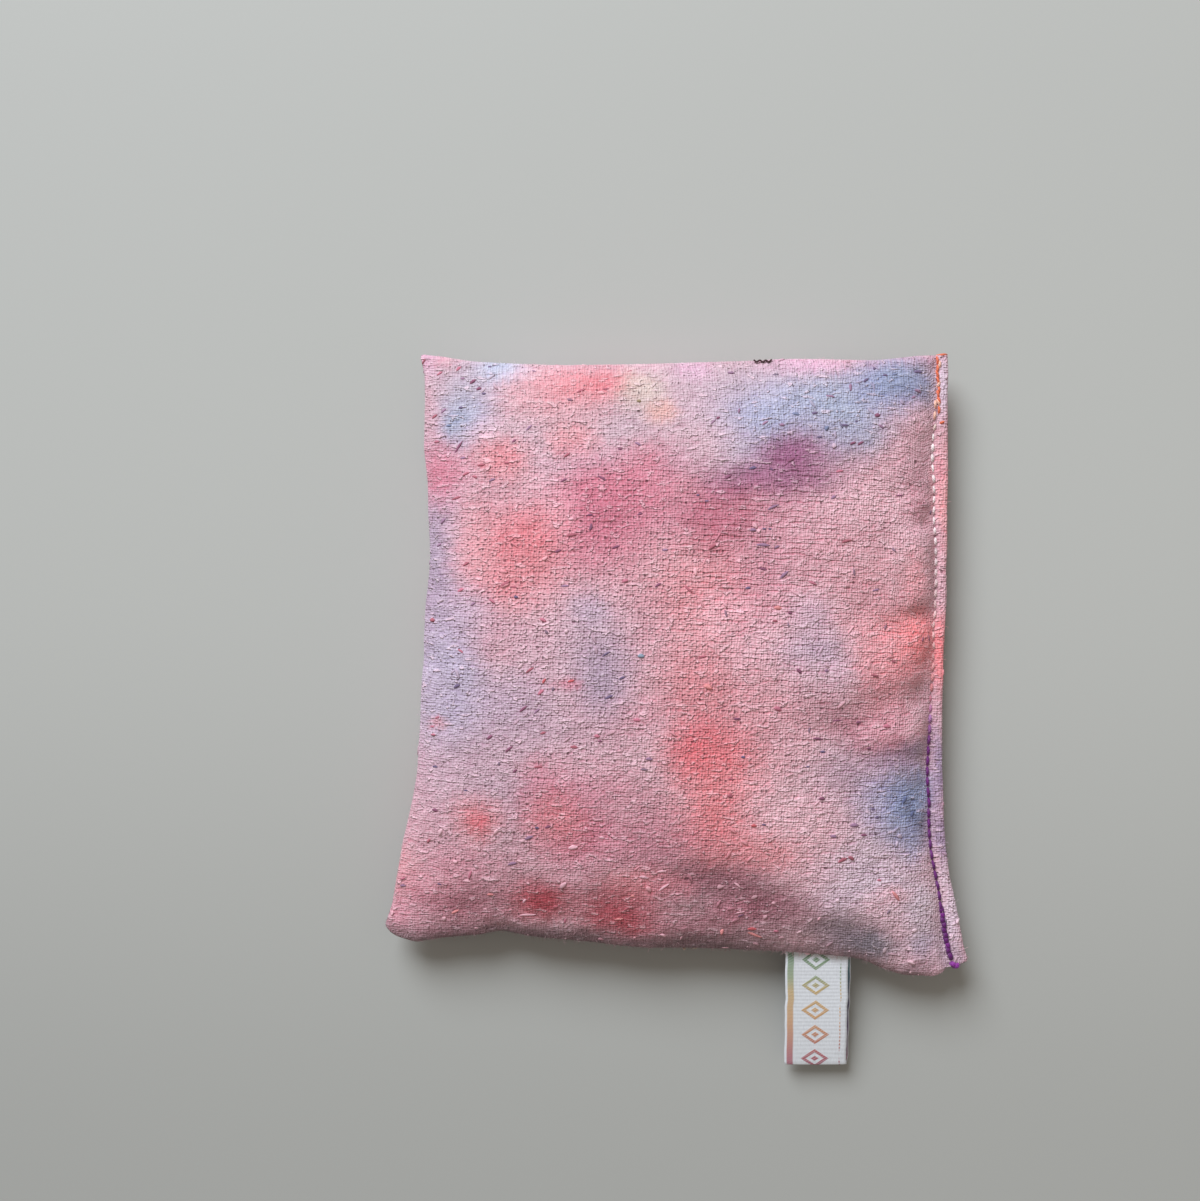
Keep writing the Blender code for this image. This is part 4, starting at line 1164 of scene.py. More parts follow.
def threadMaterial(name):
    made, tree, surface = newMaterial(name, {"Roughness": 0.55, "Sheen Weight": 0.2})
    x, y, z = split(tree, objectPlace(tree))
    slant = calc(tree, "ADD", calc(tree, "ADD", x, y), z)
    twist = calc(tree, "SINE", times(tree, slant, 9000))  # turns of ply, in radians a metre
    shade = ramp(tree, twist, -1, 1, 0.82, 1.08, False)
    plug(tree, scaled(tree, attribute(tree, "tint", "Color"), shade), surface.inputs["Base Color"])
    addBump(tree, surface, twist, 0.6, 0.06 * mm)
    return made


thread = threadMaterial("thread")

# The topstitching's colours down the seam, by pixel y
topstitch = {
    "colours": [
        (355, srgb(236, 150, 112)),
        (418, srgb(240, 176, 150)),
        (432, srgb(250, 236, 236)),
        (560, srgb(250, 228, 232)),
        (640, srgb(246, 196, 196)),
        (690, srgb(226, 140, 146)),
        (716, srgb(176, 120, 176)),
        (742, srgb(114, 26, 122)),
        (966, srgb(96, 10, 104)),
    ],
    "girths": {"orange": 1.0, "peach": 1.1, "purple": 1.95, "violet": 1.8, "knot": 1.9},
    "orange": srgb(238, 118, 84),
    "peach": srgb(250, 196, 176),
    "purple": srgb(98, 8, 106),
    "violet": srgb(122, 22, 132),
    "knot": srgb(148, 46, 160),
    "rows": (421, 906),  # pixel y: beyond these the seam is sewn over twice
    "rise": 0.24 * mm,
    "sink": 0.70 * mm,
    "radius": 0.30 * mm,
    "tightLift": 0.22 * mm,  # the darker thread's stitches show more of their length
}


def threadColour(y, rng):
    pixelY = photo["originY"] - y / photo["metresPerPixel"]
    rows, colours = zip(*topstitch["colours"])
    colour = [np.interp(pixelY, rows, [stop[k] for stop in colours]) for k in range(3)]
    shade = 1 + rng.uniform(-0.08, 0.08)
    return [min(c * shade, 1.0) for c in colour] + [1.0]


def onFlange(name, x, y):
    # the panel's surface at x and y, between the cloth beside the stitches and the flange's outer edge
    grid = panels[name]["grid"][rim:-rim]
    last = panels[name]["stitchColumn"] + flangeForm["rising"]
    columns = range(last - 20, last)
    across, level = [[np.interp(y, grid[:, c, 1], grid[:, c, k]) for c in columns] for k in (0, 2)]
    return np.array([x, y, np.interp(x, across, level)])


def topStitches(name, up):
    shaped = panels[name]
    rng = np.random.default_rng(5 if up > 0 else 6)
    line = shaped["grid"][rim:-rim, shaped["stitchColumn"]]
    needle = needleRun(line)
    places = np.arange(stitching["start"], needle.max(), stitching["pitch"])
    points = [np.array([np.interp(p, needle[::-1], line[::-1, k]) for k in range(3)]) for p in places]
    stitches = []
    for a, b in zip(points, points[1:]):
        middle = (a + b) / 2
        pixelY = photo["originY"] - middle[1] / photo["metresPerPixel"]
        if not topstitch["rows"][0] < pixelY < topstitch["rows"][1]:
            continue
        dark = smoothStep((pixelY - 700) / 35)
        lift = up * mix(rng.uniform(-0.15, 0.00) * mm, topstitch["tightLift"], dark)
        lean = rng.uniform(-0.24, 0.24) * mm * (1 - 0.6 * dark)
        aside = rng.uniform(-0.12, 0.12) * mm
        girth = mix(rng.uniform(1.0, 1.45), 1.25, dark)
        start, end = a + (aside + lean, 0, lift), b + (aside - lean, 0, lift)
        stitches.append((start, end, up, threadColour(middle[1], rng), girth))
    return stitches


def looseStitches(name, up, table):
    # stitches read off the photograph: pixel x and y of both ends, and the colour
    stitches = []
    for x0, y0, x1, y1, key in table:
        start, end = onFlange(name, *fromPhoto(x0, y0)), onFlange(name, *fromPhoto(x1, y1))
        stitches.append((start, end, up, topstitch[key], topstitch["girths"][key]))
    return stitches


# The doubled ends of the topstitching, sewn over twice
backTack = [
    (936, 356, 937, 366, "orange"), (937, 365, 936, 375, "orange"), (936, 376, 938, 386, "orange"),
    (938, 386, 938, 395, "orange"), (937, 396, 939, 406, "orange"), (938, 406, 938, 415, "orange"),
    (937, 356, 947, 355, "orange"), (939, 361, 938, 370, "peach"), (935, 370, 938, 380, "orange"),
    (939, 381, 936, 389, "peach"), (936, 390, 938, 399, "orange"), (936, 399, 939, 407, "peach"),
    (934, 400, 934, 410, "peach"), (934, 411, 933, 421, "peach"), (938, 424, 944, 422, "orange"),
]
endTack = [
    (940, 904, 941, 914, "purple"), (941, 914, 942, 924, "purple"), (942, 924, 944, 934, "purple"),
    (944, 934, 946, 944, "purple"), (946, 944, 948, 954, "purple"), (941, 909, 942, 919, "violet"),
    (942, 919, 944, 929, "purple"), (943, 929, 946, 939, "purple"), (945, 939, 948, 949, "violet"),
    (947, 949, 951, 960, "purple"), (948, 961, 956, 965, "knot"), (952, 966, 959, 963, "knot"),
]

for name, node, panel, up in (
    ("needleStitches", "closing_needle_thread", "frontCloth", 1),
    ("bobbinStitches", "closing_bobbin_thread", "backCloth", -1),
):
    stitches = topStitches(panel, up) + looseStitches(panel, up, backTack + endTack)
    piece = stitchPiece(name, stitches, thread, stitching["pitch"], topstitch["rise"], topstitch["sink"],
                        topstitch["radius"])
    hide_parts(node)
print("topstitching sewn")


# The inside seam's thread, between the turned-in edges, and the zigzag end that shows at the head

innerSeam = {
    "inset": 2.0 * mm,
    "pitch": 2.4 * mm,
    "colour": srgb(70, 34, 42),
    "radius": 0.16 * mm,
    "zigzag": [(753, 361), (756, 363), (759, 361), (762, 363), (765, 361), (768, 363), (771, 360.5)],
}


def seamLine(side):
    # the seam from the closing side's foot corner round to its head corner, inside the edges
    shaped = panels["frontCloth" if side > 0 else "backCloth"]
    grid, last = shaped["grid"], shaped["stitchColumn"]
    loop = np.vstack([grid[rim, rim: last][::-1], grid[rim: -rim, rim], grid[-rim - 1, rim: last]])
    inward = np.array([*bagMiddle, 0.0]) - loop
    inward[:, 2] = 0
    loop = loop + inward / np.linalg.norm(inward, axis=1, keepdims=True) * innerSeam["inset"]
    loop[:, 2] = bag["seamHeight"] + side * 0.75 * mm
    return loop


for name, node, side in (("seamNeedle", "seam_needle_thread", 1), ("seamBobbin", "seam_bobbin_thread", -1)):
    line = seamLine(side)
    run = np.concatenate([[0], np.cumsum(np.linalg.norm(np.diff(line, axis=0), axis=1))])
    places = np.arange(0, run[-1], innerSeam["pitch"])
    points = [np.array([np.interp(p, run, line[:, k]) for k in range(3)]) for p in places]
    stitches = [(a, b, side, innerSeam["colour"], 1.0) for a, b in zip(points, points[1:])]
    piece = stitchPiece(name, stitches, thread, innerSeam["pitch"], 0.12 * mm, 0.1 * mm, innerSeam["radius"])
    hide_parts(node)


def zigzagStitches():
    grid = panels["frontCloth"]["grid"][-60:]
    spots = []
    for pixelX, pixelY in innerSeam["zigzag"]:
        x, y = fromPhoto(pixelX, pixelY, 3 * mm)
        spot = grid.reshape(-1, 3)[np.argmin(np.hypot(grid[..., 0] - x, grid[..., 1] - y))]
        spots.append(np.array([x, y, spot[2] + 0.25 * mm]))
    for spot in spots:
        spot[2] = max(other[2] for other in spots)
    return [(a, b, 1, innerSeam["colour"], 1.0) for a, b in zip(spots, spots[1:])]


zigzag = stitchPiece("zigzagEnd", zigzagStitches(), thread, 0.85 * mm, 0.02 * mm, 0.00 * mm, 0.20 * mm)
print("inside seam sewn")


# Ribbon label: one folded ribbon, its ends held in the foot seam

ribbon = {
    "width": 15.0 * mm,
    "thickness": 0.22 * mm,
    "length": 24.5 * mm,
    "droop": 11.5,  # degrees
    "foldRadius": 0.62 * mm,
    "tail": 4.6 * mm,
    "plyGap": 0.17 * mm,
    "cupped": 0.96,  # the plies are cupped a little, and look narrower than they are
    "offset": -0.30 * mm,
    "skew": 0.68 * mm,  # how far the back ply lies to the right of the front ply
    "lean": 0.35 * mm,  # how far the fold lies to the right of both ends
    "wobble": (2.2 * mm, 0.16 * mm),  # of the woven edges: cell, reach
    "across": 24,
    "white": srgb(243, 247, 255),
}

hinge = frame["record"]["behaviour"]["joints"][0]["pos_m"]


def ribbonPath():
    # the ribbon's middle line in y and z, from the front ply's tail to the back ply's
    slope = math.radians(ribbon["droop"])
    out = np.array([-math.cos(slope), -math.sin(slope)])
    up = np.array([-math.sin(slope), math.cos(slope)])
    root = np.array([hinge[1], hinge[2]])
    gap, radius = ribbon["plyGap"], ribbon["foldRadius"]
    reach = ribbon["length"] - radius
    path = [root + (y, gap) for y in np.linspace(ribbon["tail"], 0.4 * mm, 8)]
    shares = np.linspace(0.02, 1, 46)
    for share in shares:
        apart = mix(gap, radius, smoothStep(share ** 1.5)) + math.sin(math.pi * share) * 0.35 * mm
        path.append(root + out * reach * share + up * apart)
    for angle in np.linspace(0.12, 0.88, 9) * math.pi:
        path.append(root + out * (reach + radius * math.sin(angle)) + up * radius * math.cos(angle))
    for share in shares[::-1]:
        apart = mix(gap, radius, smoothStep(share ** 1.5)) + math.sin(math.pi * share) * 0.15 * mm
        path.append(root + out * reach * share - up * apart)
    path += [root + (y, -gap) for y in np.linspace(0.4 * mm, ribbon["tail"], 8)]
    return np.array(path)


def makeRibbon():
    path = ribbonPath()
    along = np.concatenate([[0], np.cumsum(np.linalg.norm(np.diff(path, axis=0), axis=1))])
    tangent = np.gradient(path, axis=0)
    tangent /= np.linalg.norm(tangent, axis=1, keepdims=True)
    across = np.linspace(-0.5, 0.5, ribbon["across"] + 1) * ribbon["width"]
    share = along / along[-1]
    shift = ribbon["skew"] * smoothStep((share - 0.47) / 0.08) + ribbon["lean"] * (1 - np.abs(2 * share - 1))
    shift += ribbon["offset"]
    shift += ribbon["wobble"][1] * latticeNoise(along * 0, along, ribbon["wobble"][0], 17)
    edge = np.abs(across / ribbon["width"] * 2)
    curl = (edge ** 4)[None, :] * 0.10 * mm * np.sin(share * 3 * math.pi)[:, None]
    rows, columns = len(path), len(across)
    faces, points, pairs = [], [], []
    for side in (1, -1):
        thin = side * ribbon["thickness"] / 2 * (1 - 0.35 * edge ** 12)[None, :] + curl
        x = hinge[0] + across[None, :] * ribbon["cupped"] + shift[:, None]
        y = path[:, :1] + tangent[:, 1:] * thin
        z = np.maximum(path[:, 1:] - tangent[:, :1] * thin, 0.2 * mm)
        points.append(np.stack([x, y, z], axis=2).reshape(-1, 3))
        pairs.append(np.stack(np.broadcast_arrays(across[None, :], along[:, None]), axis=2).reshape(-1, 2))
        faces += gridFaces(rows, columns, 0 if side > 0 else rows * columns, flip=side > 0).tolist()
    top = np.arange(rows * columns).reshape(rows, columns)
    loop = np.concatenate([top[0], top[1:, -1], top[-1, -2::-1], top[-2:0:-1, 0]])
    low = loop + rows * columns
    faces += np.stack([loop, np.roll(loop, -1), np.roll(low, -1), low], axis=1).tolist()
    mesh = bpy.data.meshes.new("ribbonLabel")
    mesh.from_pydata(np.vstack(points).tolist(), [], faces)
    faceOutwards(mesh)
    layUv(mesh, "ribbonLength", np.vstack(pairs))
    mesh.shade_smooth()
    return mesh, float(along[-1])


def colourRamp(tree, value, stops):
    made = tree.nodes.new("ShaderNodeValToRGB")
    plug(tree, value, made.inputs["Fac"])
    elements = made.color_ramp.elements
    while len(elements) < len(stops):
        elements.new(0.5)
    for element, (place, colour) in zip(elements, stops):
        element.position = place
        element.color = colour
    return made.outputs["Color"]


ribbonColours = [  # down the front ply, round the fold and up the back ply
    (0.00, srgb(88, 140, 110)),
    (0.12, srgb(150, 168, 118)),
    (0.18, srgb(214, 178, 104)),
    (0.30, srgb(222, 160, 92)),
    (0.38, srgb(206, 122, 84)),
    (0.44, srgb(190, 84, 88)),
    (0.50, srgb(168, 44, 92)),
    (0.58, srgb(110, 40, 110)),
    (0.68, srgb(82, 38, 112)),
    (0.80, srgb(40, 44, 96)),
    (0.92, srgb(20, 96, 104)),
    (1.00, srgb(40, 130, 112)),
]


def ribbonMaterial(total):
    made, tree, surface = newMaterial("wovenRibbon", {"Roughness": 0.6, "Sheen Weight": 0.1})
    x, y = split(tree, uvPlace(tree, "ribbonLength"))[:2]
    colour = colourRamp(tree, calc(tree, "DIVIDE", y, total), ribbonColours)

    def band(centre, halfWidth, soft=0.12 * mm):
        away = calc(tree, "ABSOLUTE", calc(tree, "SUBTRACT", x, centre))
        return ramp(tree, away, halfWidth - soft, halfWidth + soft, 1.0, 0.0)

    def wave(value, length):
        return calc(tree, "SINE", times(tree, value, 2 * math.pi / length))

    ply = wave(timesPlus(tree, x, 0.6, y), 0.62 * mm)
    broad = times(tree, band(-6.25 * mm, 0.74 * mm), ramp(tree, ply, -1, 0.2, 0.55, 1.0))
    broken = ramp(tree, noise(tree, stretched(tree, 0.0, y, 1, 160), 1.0), 0.40, 0.52)
    dashes = times(tree, ramp(tree, wave(y, 0.9 * mm), -0.6, 0.4, 0.25, 0.9), broken)
    narrow = times(tree, band(5.75 * mm, 0.16 * mm), dashes)
    # only the back ply shows its right edge, where the stripe's other side lies
    backEdge = times(tree, band(6.95 * mm, 0.36 * mm), ramp(tree, y, total * 0.5, total * 0.52))
    # small woven diamonds down the middle, each with a dot in it
    cell = calc(tree, "FRACT", calc(tree, "DIVIDE", calc(tree, "ADD", y, 0.2 * mm), 6.1 * mm))
    upDown = calc(tree, "DIVIDE", calc(tree, "ABSOLUTE", calc(tree, "SUBTRACT", cell, 0.5)), 0.40)
    leftRight = calc(tree, "DIVIDE", calc(tree, "ABSOLUTE", calc(tree, "ADD", x, 0.2 * mm)), 3.4 * mm)
    diamond = calc(tree, "ADD", upDown, leftRight)
    outline = ramp(tree, calc(tree, "ABSOLUTE", calc(tree, "SUBTRACT", diamond, 0.82)), 0.13, 0.22, 1.0, 0.0)
    dot = ramp(tree, diamond, 0.22, 0.34, 1.0, 0.0)
    motif = times(tree, calc(tree, "MAXIMUM", outline, dot), ramp(tree, ply, -1, 0, 0.6, 1.0))
    shown = larger(tree, larger(tree, broad, narrow), larger(tree, backEdge, motif))
    # fine ribs of the satin ground
    grain = noise(tree, stretched(tree, x, y, 2600, 900), 1.0, 3.0)
    ground = scaled(tree, ribbon["white"][:3], ramp(tree, grain, 0.25, 0.75, 0.90, 1.06, False))
    dyed = blendColour(tree, times(tree, shown, 0.92), ground, colour)
    plug(tree, dyed, surface.inputs["Base Color"])
    ribs = timesPlus(tree, wave(y, 0.34 * mm), 0.4, times(tree, wave(x, 0.26 * mm), 0.25))
    addBump(tree, surface, timesPlus(tree, shown, 0.9, ribs), 0.8, 0.07 * mm)
    return made


ribbonMesh, ribbonTotal = makeRibbon()
label = addObject("ribbonLabel", ribbonMesh, ribbonMaterial(ribbonTotal), None)
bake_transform(label)
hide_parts("label_loop", "label_tail")
print("label woven")


# Loose fibres, nubs and slubs over the cloth

def makeScatterGroup(name, shape):
    # shape builds the thing that is scattered and returns its socket
    inputs = {"Amount": "Float", "Seed": "Int", "Smallest": "Vector", "Largest": "Vector", "Tilt": "Float",
              "Spin": "Float"}
    tree, enter, leave = geometryGroup(name, inputs)
    given = enter.outputs
    spread = tree.nodes.new("GeometryNodeDistributePointsOnFaces")
    density = times(tree, namedAttribute(tree, "share", "FLOAT"), given["Amount"])
    for key, value in (("Mesh", given["Geometry"]), ("Density", density), ("Seed", given["Seed"])):
        plug(tree, value, spread.inputs[key])
    less = times(tree, given["Tilt"], -1.0)
    low = join(tree, less, less, times(tree, given["Spin"], -1.0))
    leaning = randomVector(tree, low, join(tree, given["Tilt"], given["Tilt"], given["Spin"]))
    turn = tree.nodes.new("FunctionNodeRotateRotation")
    turn.rotation_space = "LOCAL"
    plug(tree, spread.outputs["Rotation"], turn.inputs["Rotation"])
    plug(tree, asRotation(tree, leaning), turn.inputs["Rotate By"])
    size = randomVector(tree, given["Smallest"], given["Largest"], given["Seed"])
    placeOnPoints(tree, spread.outputs["Points"], shape(tree), turn.outputs[0], size, given["Surface"], leave)
    return tree


def lumpShape(tree):
    # an uneven ball
    ball = tree.nodes.new("GeometryNodeMeshIcoSphere")
    ball.inputs["Radius"].default_value = 1.0
    ball.inputs["Subdivisions"].default_value = 2
    bulge = tree.nodes.new("ShaderNodeTexNoise")
    bulge.inputs["Scale"].default_value = 1.4
    away = scaled(tree, vectorCalc(tree, "SUBTRACT", bulge.outputs[1], (0.5, 0.5, 0.5)), 1.5)
    moved = tree.nodes.new("GeometryNodeSetPosition")
    plug(tree, ball.outputs["Mesh"], moved.inputs[0])
    plug(tree, away, moved.inputs["Offset"])
    return moved.outputs[0]


def hairShape(tree):
    # a fibre of unit length that stands up and bends over
    return tubeAlong(tree, (0, 0, -0.1), (0.1, 0, 0.55), (0.75, 0.15, 0.65), 0.022, 5, 4)


lumps = makeScatterGroup("lumps", lumpShape)
hairs = makeScatterGroup("hairs", hairShape)


def lintMaterial(name, dyed, tone, tint, share):
    made, tree, surface = newMaterial(name, {"Roughness": 0.95})
    place = objectPlace(tree)
    toned = scaled(tree, useGroup(tree, dyed, Place=place)["Colour"], tone)
    plug(tree, blendColour(tree, share, toned, tint), surface.inputs["Base Color"])
    addBump(tree, surface, noise(tree, place, 1 / (0.35 * mm), 3.0), 1.0, 0.12 * mm)
    return made


paleLint = lintMaterial("paleLint", frontDyeAndShading, 1.08, srgb(244, 208, 216), 0.30)
sameLint = lintMaterial("sameLint", frontDyeAndShading, 0.92, srgb(200, 130, 146), 0.15)
darkLint = lintMaterial("darkLint", frontDyeAndShading, 0.55, srgb(104, 84, 124), 0.45)
# painted shade: the fibres along the foot's rim are tinted dark grey-brown to match the shaded side there
shadedRimLint = lintMaterial("shadedRimLint", frontDyeAndShading, 0.9, srgb(150, 124, 126), 0.55)
backLint = lintMaterial("backLint", dyedBack, 1.00, srgb(244, 214, 222), 0.2)

loose = [
    # name, panel, nodes, amount per square metre, seed,
    # smallest and largest in mm, tilt, spin, surface, where
    ("nubs", "frontCloth", lumps, 7000, 3,
     (0.34, 0.28, 0.18), (0.85, 0.60, 0.36), 0.3, 3.1, paleLint, "foot"),
    ("specks", "frontCloth", lumps, 15000, 9,
     (0.16, 0.14, 0.10), (0.30, 0.24, 0.18), 0.3, 3.1, paleLint, "foot"),
    ("slubs", "frontCloth", lumps, 14000, 4,
     (0.50, 0.22, 0.15), (1.15, 0.42, 0.26), 0.10, 1.2, sameLint, "all"),
    ("darkSlubs", "frontCloth", lumps, 3000, 8,
     (0.40, 0.22, 0.14), (0.80, 0.36, 0.22), 0.1, 0.6, darkLint, "head"),
    ("fuzz", "frontCloth", hairs, 160000, 5,
     (0.5, 0.5, 0.4), (1.5, 1.5, 1.2), 0.9, 3.1, paleLint, "edge"),
    ("rimFuzz", "frontCloth", hairs, 2000000, 12,
     (0.4, 0.4, 0.4), (1.2, 1.2, 1.1), 1.0, 3.1, shadedRimLint, "rim"),
    ("backFuzz", "backCloth", hairs, 60000, 6,
     (0.5, 0.5, 0.4), (1.3, 1.3, 1.0), 0.9, 3.1, backLint, "edge"),
    ("backSlubs", "backCloth", lumps, 12000, 7,
     (0.40, 0.20, 0.12), (0.95, 0.34, 0.20), 0.1, 0.9, backLint, "all"),
]


def looseShare(grid, where):
    # how thickly the loose stuff lies at each point, from 0 to 1
    x, y, z = grid[..., 0], grid[..., 1], grid[..., 2]
    patch = 0.5 + 0.5 * latticeNoise(x, y, 8 * mm, 61)
    foot = smoothStep((-0.010 - y) / 0.040)
    head = smoothStep((y - 0.020) / 0.050)
    if where == "foot":
        share = 0.10 + 0.90 * foot
    elif where == "head":
        share = 0.12 + 0.88 * head * smoothStep((x + 0.030) / 0.040) + 0.2 * smoothStep((x - 0.02) / 0.04)
    elif where == "rim":
        share = np.exp(-(((y - y[rim][None, :]) / (2.5 * mm)) ** 2))
    elif where == "edge":
        share = 0.12 + 0.5 * foot + 0.4 * (z < bag["seamHeight"] + 5 * mm)
    else:
        share = np.full_like(x, 0.6)
    share = share * (0.35 + patch)
    share = np.where(z < 0.6 * mm, 0, share)  # nothing sticks out where the bag rests
    share[:3] = 0
    share[-3:] = 0
    share[:, :3] = 0
    return share


for name, panel, group, amount, seed, smallest, largest, tilt, spin, surface, where in loose:
    shaped = panels[panel]
    grid = shaped["grid"]
    mesh = bpy.data.meshes.new(name)
    faces = gridFaces(*grid.shape[:2], flip=shaped["side"] < 0)
    mesh.from_pydata(grid.reshape(-1, 3).tolist(), [], faces.tolist())
    layAttribute(mesh, "share", "FLOAT", looseShare(grid, where))
    piece = addObject(name, mesh, None, "bag")
    settle(piece, group, {
        "Amount": float(amount), "Seed": seed, "Smallest": [s * mm for s in smallest],
        "Largest": [s * mm for s in largest], "Tilt": tilt, "Spin": spin, "Surface": surface,
    })
    print(name, len(piece.data.polygons), "faces")


